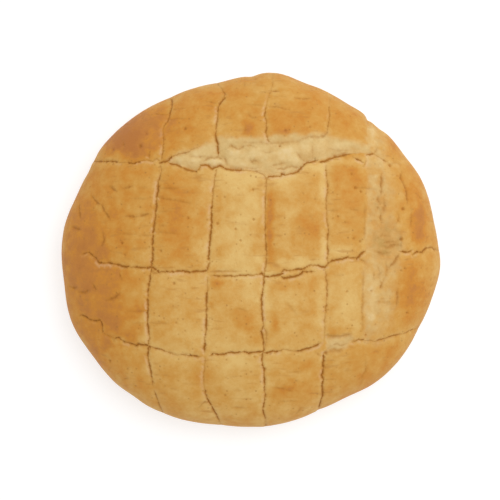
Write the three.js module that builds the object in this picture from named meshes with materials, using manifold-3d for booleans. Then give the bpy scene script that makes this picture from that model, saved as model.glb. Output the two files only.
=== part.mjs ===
// Pot bread: a round, slightly oval loaf that was slashed in a grid before it was baked. Two of the slashes
// have torn open in the oven and show craggy crumb. The loaf is one solid, in millimetres, with +Z up.
// The origin is the middle of its flat underside.
import * as THREE from "three";
import { mergeVertices } from "three/addons/utils/BufferGeometryUtils.js";
import Module from "manifold-3d";

// Size of the loaf. The waist is the level of its widest girth.
const LOAF_HEIGHT = 66;
const WAIST_HEIGHT = 24;
const CROWN_HEIGHT = LOAF_HEIGHT - WAIST_HEIGHT;
const BASE_SHARE = 0.86; // radius of the flat underside over radius of the waist
const CROWN_POWER = 2.6; // 2 gives an ellipse, and more gives a flatter crown with a rounder shoulder

// Radius of the waist at even steps of angle, from +X towards +Y.
const WAIST_RADII = [
  120, 118, 114, 112, 113.5, 108.5, 110, 115, 115, 120, 122.5, 121, 118, 113, 112, 111, 117, 119,
];

// Fineness of the surface.
const SEGMENTS = 76;
const CROWN_RINGS = 17;
const FLANK_RINGS = 5;
const STATION_STEP = 8; // along a slash

// Section of a slash, and how the crust rounds down towards it.
const SLASH_HALF_WIDTH = 1.3;
const SLASH_DEPTH = 2.9; // below the crust beside it
const SLASH_WANDER = 0.8; // how far a slash strays to either side of its course
const SLASH_ROUGHNESS = 0.4; // up or down on its floor
const FADE_LENGTH = 14; // over which a slash gets shallow at an end
const END_DEPTH = 0.15; // share of the depth that is left at the end
const PILLOW_DROP = 1.7; // of the crust at a slash
const PILLOW_REACH = 7;
const CUT_MARGIN = 4; // how far a cutting body stands out of the crust

// A slash that meets the edge of the loaf runs on down its flank.
const EDGE_SHARE = 0.975; // share of the outline where that run starts
const RUN_LIFTS = [0.12, -0.05, -0.22, -0.4]; // places of its stations, in radians above the waist
const RUN_DEPTHS = [0.75, 0.6, 0.35, 0.1]; // their shares of the full depth

// Slashes that run down the loaf as seen from above: the X of each as it crosses the rows. depth is a share.
// A torn one has opened on its right, and one that runs across has opened towards the rows above it.
const ROWS = [100, 60, 20, -20, -60, -100];
const DOWN_SLASHES = [
  { crossings: [-90, -92, -90, -95, -91, -88], from: 31, to: -52, depth: 0.4 },
  { crossings: [-50, -54, -58, -61, -62.5, -57], from: 110, to: -110, depth: 1 },
  { crossings: [-18, -19.5, -23.5, -26, -28, -22], from: 115, to: -115, depth: 1 },
  { crossings: [12, 11, 9, 8, 8.5, 8], from: 115, to: -115, depth: 1 },
  { crossings: [51, 46.5, 47, 46, 45.5, 43.5], from: 110, to: -110, depth: 1 },
  {
    crossings: [72, 70.5, 70, 69, 70.5, 71],
    from: 80, to: -88, depth: 0.6,
    tear: { from: 80, to: -62, width: 24, depth: 1.6 },
  },
];

// Slashes that run across it: the Y of each as it crosses the columns.
const COLUMNS = [-110, -90, -70, -50, -30, -10, 10, 30, 50, 70, 90, 110];
const ACROSS_SLASHES = [
  {
    crossings: [56.5, 55, 54, 53.5, 49, 48.5, 44.5, 49, 56.5, 59.5, 52, 44],
    from: -110, to: 88, depth: 1,
    tear: { from: -56, to: 80, width: 24, depth: 3.2 },
  },
  {
    crossings: [-2.5, -8, -10, -13.5, -12.5, -15.5, -16.5, -15.5, -7, -1, -1, 0.5],
    from: -118, to: 118, depth: 1,
  },
  {
    crossings: [-41, -52, -59, -63.5, -65.5, -63, -63, -61.5, -58, -55, -53, -50],
    from: -115, to: 112, depth: 1,
  },
];
const SLASHES = [
  ...DOWN_SLASHES.map((slash) => ({ ...slash, marks: ROWS, goesAcross: false })),
  ...ACROSS_SLASHES.map((slash) => ({ ...slash, marks: COLUMNS, goesAcross: true })),
];

// Floor of a plain slash and of a torn one, from side to side: shares of the width and of the depth.
const SLASH_FLOOR = [[0.5, 1]];
const TORN_FLOOR = [[0.05, 1], [0.22, 0.9], [0.42, 0.72], [0.62, 0.52], [0.82, 0.28]];
const CRAG_HEIGHT = 0.9; // up or down on a torn floor
const TEAR_BLUNTNESS = 0.6; // under 1 keeps a tear wide until close to its ends
const RIM_OVERHANG = 0.04; // share of the width by which a cutting body widens above the crust

// Fineness of the working.
const CROWN_SAMPLES = 90; // of the section's curve, before it is divided evenly into rings
const NORMAL_STEP = 0.01; // radians
const MERGE_DISTANCE = 1e-3; // millimetres between points that count as one

// Crust colour.
const CRUST = new THREE.MeshStandardMaterial({ color: 0xd3a054, roughness: 0.85, metalness: 0 });

// A repeatable draw of numbers from 0 to 1.
function seededDraw(seed) {
  let state = seed;
  return () => {
    state = (state * 1664525 + 1013904223) % 4294967296;
    return state / 4294967296;
  };
}

const draw = seededDraw(20);
const stray = (reach) => (2 * draw() - 1) * reach;
const clampShare = (value) => Math.min(1, Math.max(0, value));

// Closed curve through the waist's radii. Its X is the angle and its Y the radius.
const waistCurve = new THREE.SplineCurve(
  [-1, ...WAIST_RADII.keys(), WAIST_RADII.length, WAIST_RADII.length + 1].map(
    (step) => new THREE.Vector2(step, WAIST_RADII[(step + WAIST_RADII.length) % WAIST_RADII.length]),
  ),
);

function waistRadius(around) {
  const steps = THREE.MathUtils.euclideanModulo(around / (2 * Math.PI), 1) * WAIST_RADII.length;
  return waistCurve.getPoint((steps + 1) / (WAIST_RADII.length + 2)).y;
}

// Share of the waist's radius and level of a point of the section, at a lift in radians above the waist.
function sectionPoint(lift) {
  if (lift > 0) {
    const share = Math.max(0, Math.cos(lift)) ** (2 / CROWN_POWER);
    return new THREE.Vector2(share, WAIST_HEIGHT + CROWN_HEIGHT * Math.sin(lift));
  }
  const share = BASE_SHARE + (1 - BASE_SHARE) * Math.cos(lift);
  return new THREE.Vector2(share, WAIST_HEIGHT * (1 + Math.sin(lift)));
}

function surfacePoint(around, lift) {
  const { x: share, y: level } = sectionPoint(lift);
  const reach = share * waistRadius(around);
  return new THREE.Vector3(reach * Math.cos(around), reach * Math.sin(around), level);
}

function surfaceNormal(around, lift) {
  const sideways = surfacePoint(around + NORMAL_STEP, lift).sub(surfacePoint(around - NORMAL_STEP, lift));
  const upwards = surfacePoint(around, lift + NORMAL_STEP).sub(surfacePoint(around, lift - NORMAL_STEP));
  return sideways.cross(upwards).normalize();
}

// Place on the surface above a point of the plan: its angle, its lift and its share of the outline's radius.
function placeAbove(plan) {
  const around = Math.atan2(plan.y, plan.x);
  const share = plan.length() / waistRadius(around);
  const lift = Math.acos(clampShare(share) ** (CROWN_POWER / 2));
  return { around, lift, share };
}

// Width of a tear at a place along its slash: widest in the middle and nothing at its ends.
function tearWidth(tear, along) {
  const share = clampShare((along - tear.from) / (tear.to - tear.from));
  return tear.width * Math.sin(Math.PI * share) ** TEAR_BLUNTNESS;
}

// Stations of a slash from end to end, each with its place on the surface, its share of the full depth and
// how far it strays from the slash's course.
function slashStations({ crossings, marks, goesAcross, from, to }) {
  const points = crossings.map((value, i) =>
    goesAcross ? new THREE.Vector2(marks[i], value) : new THREE.Vector2(value, marks[i]),
  );
  const course = new THREE.SplineCurve(points);
  const ends = [Math.min(from, to), Math.max(from, to)];
  const stations = [];
  for (const plan of course.getSpacedPoints(Math.round(course.getLength() / STATION_STEP))) {
    const along = goesAcross ? plan.x : plan.y;
    const place = placeAbove(plan);
    if (along < ends[0] || along > ends[1] || place.share > EDGE_SHARE) continue;
    const fromEnd = Math.min(along - ends[0], ends[1] - along);
    const deep = Math.max(END_DEPTH, clampShare(fromEnd / FADE_LENGTH));
    stations.push({ ...place, along, plan, deep, wander: stray(SLASH_WANDER) });
  }
  return [...edgeRun(stations[0]).reverse(), ...stations, ...edgeRun(stations.at(-1))];
}

// Stations that carry a slash from its last one down over the flank, if that one is at the edge.
function edgeRun(last) {
  const reachesEdge = last.share > EDGE_SHARE - (2 * STATION_STEP) / waistRadius(last.around);
  if (!reachesEdge) return [];
  return RUN_LIFTS.map((lift, i) => {
    const { x, y } = surfacePoint(last.around, lift);
    return { ...last, lift, plan: new THREE.Vector2(x, y), deep: Math.min(last.deep, RUN_DEPTHS[i]) };
  }).filter((station) => station.lift < last.lift);
}

// Closed surface through rings of points that have equally many points each.
function sweptGeometry(rings) {
  const size = rings[0].length;
  const index = [];
  for (let i = 0; i + 1 < rings.length; i++) {
    for (let j = 0; j < size; j++) {
      const [a, b] = [i * size + j, i * size + ((j + 1) % size)];
      index.push(a, b, a + size, b, b + size, a + size);
    }
  }
  const end = (rings.length - 1) * size;
  for (let j = 1; j + 1 < size; j++) {
    index.push(0, j + 1, j, end, end + j, end + j + 1);
  }
  return new THREE.BufferGeometry().setFromPoints(rings.flat()).setIndex(index);
}

// Body that cuts along stations: each has a section that stands out of the crust and has its floor below it.
// reaches gives how far the section goes to the left and to the right of the slash at a station.
function cutterAlong(stations, { goesAcross, floor, reaches, depth, roughness }) {
  const sideways = goesAcross ? new THREE.Vector3(0, 1, 0) : new THREE.Vector3(1, 0, 0);
  const rings = stations.map((station, i) => {
    const normal = surfaceNormal(station.around, station.lift);
    const side = sideways.clone().addScaledVector(normal, -sideways.dot(normal)).normalize();
    const isEnd = i === 0 || i === stations.length - 1;
    const [left, right] = reaches(station);
    const shift = isEnd ? 0 : station.wander;
    const at = (across, down) =>
      surfacePoint(station.around, station.lift)
        .addScaledVector(side, shift - left + (left + right) * across)
        .addScaledVector(normal, -down);
    const full = depth * station.deep + PILLOW_DROP * Math.max(0, Math.sin(station.lift));
    const bottom = floor.map(([across, share]) => at(across, full * share + (isEnd ? 0 : stray(roughness))));
    return [at(-RIM_OVERHANG, -CUT_MARGIN), ...bottom, at(1 + RIM_OVERHANG, -CUT_MARGIN)];
  });
  return facingOut(sweptGeometry(rings));
}

// Closed solid of a geometry, turned so that its faces point out.
function facingOut(geometry) {
  const solid = solidOf(geometry);
  if (solid.volume() > 0) return solid;
  const index = geometry.index.array;
  for (let i = 0; i < index.length; i += 3) {
    [index[i + 1], index[i + 2]] = [index[i + 2], index[i + 1]];
  }
  return solidOf(geometry);
}

function solidOf(geometry) {
  geometry.deleteAttribute("normal");
  geometry.deleteAttribute("uv");
  const merged = mergeVertices(geometry, MERGE_DISTANCE);
  const vertProperties = merged.attributes.position.array;
  const triVerts = new Uint32Array(merged.index.array);
  return new wasm.Manifold(new wasm.Mesh({ numProp: 3, vertProperties, triVerts }));
}

// Half of the loaf's section at unit radius, from the middle of the underside to the top, with even rings.
function turnedSection() {
  const points = [new THREE.Vector2(0, 0)];
  for (let i = 0; i < FLANK_RINGS; i++) {
    points.push(sectionPoint((Math.PI / 2) * (i / FLANK_RINGS - 1)));
  }
  const meanRadius = WAIST_RADII.reduce((sum, radius) => sum + radius) / WAIST_RADII.length;
  const crown = [];
  for (let i = 0; i <= CROWN_SAMPLES; i++) {
    const { x: share, y: level } = sectionPoint((Math.PI / 2) * (i / CROWN_SAMPLES));
    crown.push(new THREE.Vector2(share * meanRadius, level));
  }
  for (const { x: reach, y: level } of new THREE.SplineCurve(crown).getSpacedPoints(CROWN_RINGS)) {
    points.push(new THREE.Vector2(reach / meanRadius, level));
  }
  points.at(-1).x = 0;
  return points;
}

// Loaf without its slashes: the turned section drawn out to the uneven outline, with the crust lowered
// smoothly towards every slash so that the cells between them stand up like pillows.
function pillowedLoaf(slashLines) {
  const geometry = new THREE.LatheGeometry(turnedSection(), SEGMENTS).rotateX(Math.PI / 2);
  const position = geometry.attributes.position;
  for (let i = 0; i < position.count; i++) {
    const point = new THREE.Vector3().fromBufferAttribute(position, i);
    const radius = waistRadius(Math.atan2(point.y, point.x));
    const plan = new THREE.Vector2(point.x, point.y).multiplyScalar(radius);
    point.set(plan.x, plan.y, point.z);
    if (point.z > WAIST_HEIGHT && plan.length() > 0) {
      const { around, lift } = placeAbove(plan);
      const gap = Math.min(...slashLines.map((line) => distanceToLine(plan, line)));
      const drop = PILLOW_DROP * Math.exp(-((gap / PILLOW_REACH) ** 2)) * Math.sin(lift);
      point.addScaledVector(surfaceNormal(around, lift), -drop);
    }
    position.setXYZ(i, point.x, point.y, point.z);
  }
  return facingOut(geometry);
}

// Distance in the plan from a point to a line through points.
function distanceToLine(point, line) {
  let least = Infinity;
  for (let i = 0; i + 1 < line.length; i++) {
    const run = line[i + 1].clone().sub(line[i]);
    const share = clampShare(point.clone().sub(line[i]).dot(run) / run.lengthSq());
    least = Math.min(least, point.distanceTo(line[i].clone().addScaledVector(run, share)));
  }
  return least;
}

// The loaf with every tear and slash cut into it.
function loafSolid() {
  const stationsOfAll = SLASHES.map(slashStations);
  let loaf = pillowedLoaf(stationsOfAll.map((stations) => stations.map((station) => station.plan)));
  SLASHES.forEach(({ goesAcross, depth, tear }, i) => {
    const stations = stationsOfAll[i];
    if (tear) {
      const isTorn = (station) => tearWidth(tear, station.along) > 2 * SLASH_HALF_WIDTH;
      const torn = {
        goesAcross,
        floor: TORN_FLOOR,
        reaches: (station) => [SLASH_HALF_WIDTH, tearWidth(tear, station.along)],
        depth: tear.depth,
        roughness: CRAG_HEIGHT,
      };
      loaf = loaf.subtract(cutterAlong(stations.filter(isTorn), torn));
    }
    const narrow = {
      goesAcross,
      floor: SLASH_FLOOR,
      reaches: () => [SLASH_HALF_WIDTH, SLASH_HALF_WIDTH],
      depth: SLASH_DEPTH * depth,
      roughness: SLASH_ROUGHNESS,
    };
    loaf = loaf.subtract(cutterAlong(stations, narrow));
  });
  return loaf;
}

// Geometry of a solid, set on its underside with the middle of its box over the origin.
function standingGeometry(solid) {
  const { numProp, numVert, vertProperties, triVerts } = solid.getMesh();
  const places = new Float32Array(numVert * 3);
  for (let i = 0; i < numVert; i++) {
    places.set(vertProperties.subarray(i * numProp, i * numProp + 3), i * 3);
  }
  const geometry = new THREE.BufferGeometry();
  geometry.setAttribute("position", new THREE.BufferAttribute(places, 3));
  geometry.setIndex(new THREE.BufferAttribute(triVerts, 1));
  geometry.computeBoundingBox();
  const { min, max } = geometry.boundingBox;
  geometry.translate(-(min.x + max.x) / 2, -(min.y + max.y) / 2, -min.z);
  geometry.computeVertexNormals();
  return geometry;
}

const wasm = await Module();
wasm.setup();

const loaf = new THREE.Mesh(standingGeometry(loafSolid()), CRUST);
loaf.name = "loaf";

const potBread = new THREE.Group();
potBread.add(loaf);

export default potBread;
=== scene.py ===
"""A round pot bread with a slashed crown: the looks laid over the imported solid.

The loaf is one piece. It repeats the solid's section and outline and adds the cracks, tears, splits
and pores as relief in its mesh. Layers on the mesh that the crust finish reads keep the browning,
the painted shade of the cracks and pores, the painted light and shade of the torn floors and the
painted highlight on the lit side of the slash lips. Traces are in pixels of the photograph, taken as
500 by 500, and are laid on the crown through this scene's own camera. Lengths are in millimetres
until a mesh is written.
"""

import logging
import math
from collections.abc import Iterator
from contextlib import contextmanager
from dataclasses import dataclass, field, fields
from enum import Enum
from typing import Self

import bpy
import numpy as np
from mathutils import Color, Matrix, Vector, noise
from mathutils.kdtree import KDTree


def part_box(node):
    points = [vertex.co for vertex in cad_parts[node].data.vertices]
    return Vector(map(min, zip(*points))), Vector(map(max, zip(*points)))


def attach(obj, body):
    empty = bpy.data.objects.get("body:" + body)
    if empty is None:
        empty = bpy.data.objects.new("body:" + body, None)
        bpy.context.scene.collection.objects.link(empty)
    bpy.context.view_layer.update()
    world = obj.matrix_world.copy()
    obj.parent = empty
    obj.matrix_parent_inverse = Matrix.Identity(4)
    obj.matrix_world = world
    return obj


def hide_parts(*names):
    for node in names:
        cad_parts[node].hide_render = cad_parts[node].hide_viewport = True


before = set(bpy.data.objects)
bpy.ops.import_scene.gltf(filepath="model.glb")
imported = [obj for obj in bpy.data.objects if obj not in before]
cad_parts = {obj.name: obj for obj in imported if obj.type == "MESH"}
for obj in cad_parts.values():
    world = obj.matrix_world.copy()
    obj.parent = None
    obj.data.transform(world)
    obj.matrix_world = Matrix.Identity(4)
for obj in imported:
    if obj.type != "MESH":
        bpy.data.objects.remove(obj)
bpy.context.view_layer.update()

Array = np.ndarray
Socket = bpy.types.NodeSocket
Pixel = tuple[float, float]
Trace = tuple[Pixel, ...]
Span = tuple[float, float]
Colour = tuple[float, float, float]
Scales = tuple[float, float, float]
Stops = tuple[tuple[float, Colour], ...]
Feeds = dict[str | int, Socket | float | Colour]

MM = 0.001
LOG = logging.getLogger("pot_bread")
WHITE: Colour = (1.0, 1.0, 1.0)
# Full brightness of one channel of a screen colour
FULL_CHANNEL = 255
# Half the span that the places of noises are drawn from
NOISE_SPAN = 90.0
# What keeps a division from meeting zero
TINY = 1e-6
# Numbers of a mix node's colour sockets: what lies under, what lies over and the result
MIX_UNDER, MIX_OVER, MIX_RESULT = 6, 7, 2


def linear(red: float, green: float, blue: float) -> Colour:
    """Turns a screen colour of 0 to 255 a channel into the linear colour that a shader takes."""
    screen = Color([value / FULL_CHANNEL for value in (red, green, blue)])
    return tuple(screen.from_srgb_to_scene_linear())


def ease(values: Array, low: float | Array, high: float | Array) -> Array:
    """Rises smoothly from 0 where a value is at low to 1 where it is at high."""
    share = np.clip((values - low) / (high - low), 0.0, 1.0)
    return share * share * (3.0 - 2.0 * share)


def bell(values: Array, reach: float) -> Array:
    """Falls smoothly from 1 where a value is 0 towards 0 a few reaches away."""
    return np.exp(-(values / reach) ** 2)


def line_distance(trace: Trace, places: Array) -> Array:
    """Measures how far places in the picture lie from a trace.

    Args:
        trace: Corner points of the trace.
        places: Places, one a row.

    Returns:
        One distance a place.
    """
    nearest = np.full(len(places), np.inf)
    corners = np.array(trace, dtype=float)
    for start, end in zip(corners[:-1], corners[1:]):
        along = end - start
        share = np.clip((places - start) @ along / (along @ along), 0.0, 1.0)
        nearest = np.minimum(nearest, np.linalg.norm(places - start - share[:, None] * along, axis=1))
    return nearest


def is_inside(corners: Trace, places: Array) -> Array:
    """Tells which places in the picture lie inside a closed outline.

    Args:
        corners: Corner points of the outline.
        places: Places, one a row.

    Returns:
        One truth value a place.
    """
    inside = np.zeros(len(places), dtype=bool)
    across, down = places.T
    for (x, y), (next_x, next_y) in zip(corners, corners[1:] + corners[:1]):
        if y != next_y:
            spans = (down < y) != (down < next_y)
            inside ^= spans & (across < x + (down - y) * (next_x - x) / (next_y - y))
    return inside


@contextmanager
def editing(piece: bpy.types.Object) -> Iterator[None]:
    """Holds one piece, and no other, in edit mode with its faces selectable.

    Args:
        piece: The piece.

    Yields:
        Nothing, while the piece is in edit mode.
    """
    bpy.ops.object.select_all(action="DESELECT")
    piece.select_set(True)
    bpy.context.view_layer.objects.active = piece
    bpy.ops.object.mode_set(mode="EDIT")
    bpy.ops.mesh.select_mode(type="FACE")
    yield
    bpy.ops.object.mode_set(mode="OBJECT")


@dataclass(frozen=True)
class Grain:
    """Smooth seeded noise in space.

    Attributes:
        size: Length over which it changes.
        seed: Number that picks its own place.
        amount: How far it swings to either side.
        scales: Scale of space along each axis before the noise is read.
    """

    size: float
    seed: int
    amount: float = 1.0
    scales: Scales = (1.0, 1.0, 1.0)

    def at(self, points: Array, first_seed: int = 0) -> Array:
        """Reads the noise.

        Args:
            points: Points in space, one a row.
            first_seed: Number that its own seed is counted from.

        Returns:
            One value a point.
        """
        draw = np.random.default_rng(first_seed + self.seed)
        shift = Vector(draw.uniform(-NOISE_SPAN, NOISE_SPAN, len(self.scales)))
        scaled = points * np.array(self.scales)
        values = (noise.noise(Vector(point) / self.size + shift) for point in scaled)
        return self.amount * np.fromiter(values, float, len(points))


Grains = tuple[Grain, ...]


def layered(grains: Grains, points: Array, first_seed: int = 0) -> Array:
    """Adds up grains at points, with their seeds counted from the first one."""
    return sum(grain.at(points, first_seed) for grain in grains)


class Layer(Enum):
    """Layers of numbers on the loaf's mesh that the crust finish reads."""

    # Painted shade: the darker colour of the cracks and pores
    CLEFT = "cleft"
    CRUMB = "crumb"
    # Painted highlight: paler colour on the side of each slash lip that faces the key light
    LIP = "lip"
    # Browning, with painted light in one broad patch and painted light and shade on the torn floors
    TOAST = "toast"


@dataclass(frozen=True)
class CrackRule:
    """How the runs of one kind of crack are cut into the crust.

    Attributes:
        narrow: Half width of the faintest crack.
        wide: What a crack of strength 1 adds to it.
        depth: Depth of a crack of strength 1.
        wobble: How far the crack strays to either side.
        taper: Length over which each end fades.
        stain: How much of the cracks' darker colour it takes, from 0 to 1; that darkening is painted
            shade.
        seed: Number that the seeds of its draws are counted from.
    """

    narrow: float
    wide: float
    depth: float
    wobble: float
    taper: float
    stain: float
    seed: int


class CrackKind(Enum):
    """Kinds of crack in the crust, from the deepest to the faintest."""

    SLASH = CrackRule(narrow=0.2, wide=0.32, depth=0.65, wobble=0.52, taper=2.0, stain=0.95, seed=11)
    SPLIT = CrackRule(narrow=0.36, wide=0.28, depth=0.5, wobble=0.5, taper=2.0, stain=0.66, seed=47)
    CREASE = CrackRule(narrow=0.5, wide=0.4, depth=0.45, wobble=0.5, taper=3.0, stain=0.45, seed=83)
    FOLD = CrackRule(narrow=0.25, wide=0.25, depth=0.36, wobble=0.5, taper=2.0, stain=0.5, seed=61)
    WRINKLE = CrackRule(narrow=0.4, wide=0.25, depth=0.3, wobble=0.3, taper=2.5, stain=0.5, seed=29)


@dataclass(frozen=True)
class Run:
    """One run of a crack: its strength, with 1 for a clean cut, and where the photograph shows it."""

    strength: float
    trace: Trace

    @property
    def ends(self) -> tuple[Pixel, Pixel]:
        """Places of its start and its end."""
        return self.trace[0], self.trace[-1]


@dataclass(frozen=True)
class Tear:
    """Crust pulled open beside a slash, between the lip that it left and the far edge.

    Attributes:
        lip: Trace of the lip, where the torn floor lies deepest.
        far: Trace of the far edge, in the same direction.
        sink: Depth of the floor under the lip.
        edge: Depth of the floor under the far edge.
        pale: How pale the torn floor is, from 0 to 1.
        patchy: How much of that comes and goes in patches, from 0 to 1.
        lip_fade: Width over which the colour of the lip fades, in pixels.
        far_fade: The same for the far edge.
    """

    lip: Trace
    far: Trace
    sink: float
    edge: float
    pale: float
    patchy: float
    lip_fade: float
    far_fade: float

    @property
    def outline(self) -> Trace:
        """Closed outline of the torn floor."""
        return self.lip + self.far[::-1]


@dataclass(frozen=True)
class Spot:
    """A place in the picture, and how far it spreads across and down, in pixels."""

    middle: Pixel
    reach: Pixel

    def share(self, places: Array, crisp: float) -> Array:
        """Gives 1 in its middle, falling to 0 outside; a higher crisp gives a crisper edge."""
        off = (places - np.array(self.middle)) / np.array(self.reach)
        return np.exp(-np.sum(off ** 2, axis=1) ** crisp)


@dataclass(frozen=True)
class Mound(Spot):
    """A soft mound of some height on the floor of a tear, or a hollow where the height is negative."""

    height: float


@dataclass(frozen=True)
class Patch(Spot):
    """A patch of crust that is browner by an amount, or paler where that is negative; crisp 1 is soft."""

    amount: float
    crisp: float = 1.0


@dataclass(frozen=True)
class Pore:
    """A small round hole in the crust, by its middle and radius in pixels."""

    middle: Pixel
    radius: float

    def distance(self, places: Array) -> Array:
        """Measures how far places in the picture lie from its middle."""
        return np.linalg.norm(places - np.array(self.middle), axis=1)


@dataclass(frozen=True)
class Bulge:
    """A small swelling of the outline, or a dent where its height is negative.

    Attributes:
        around: Its angle round from +X towards +Y, in degrees.
        spread: How far it spreads to either side, in degrees.
        height: How far it stands out.
    """

    around: float
    spread: float
    height: float


# Swellings and dents of the outline
BULGES: tuple[Bulge, ...] = (
    Bulge(9, 8, -1.4), Bulge(31, 5, -0.8), Bulge(44.5, 3, -1.6), Bulge(48.4, 1.2, -1.0),
    Bulge(57, 4, -0.6), Bulge(72, 6, -1.6), Bulge(83, 4, 0.9), Bulge(89.5, 2.0, -1.0), Bulge(110, 7, 0.2),
    Bulge(138, 9, -1.3), Bulge(154.5, 2.5, -0.7), Bulge(171, 6, 0.75), Bulge(190, 8, -1.7),
    Bulge(214, 8, -1.2), Bulge(231, 5, -0.8), Bulge(274.5, 2.5, 0.6), Bulge(312, 6, 0.7),
    Bulge(334, 8, -0.6), Bulge(355, 6, 1.3), Bulge(149.5, 1.2, -0.3), Bulge(293.6, 1.0, -0.3),
)

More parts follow.
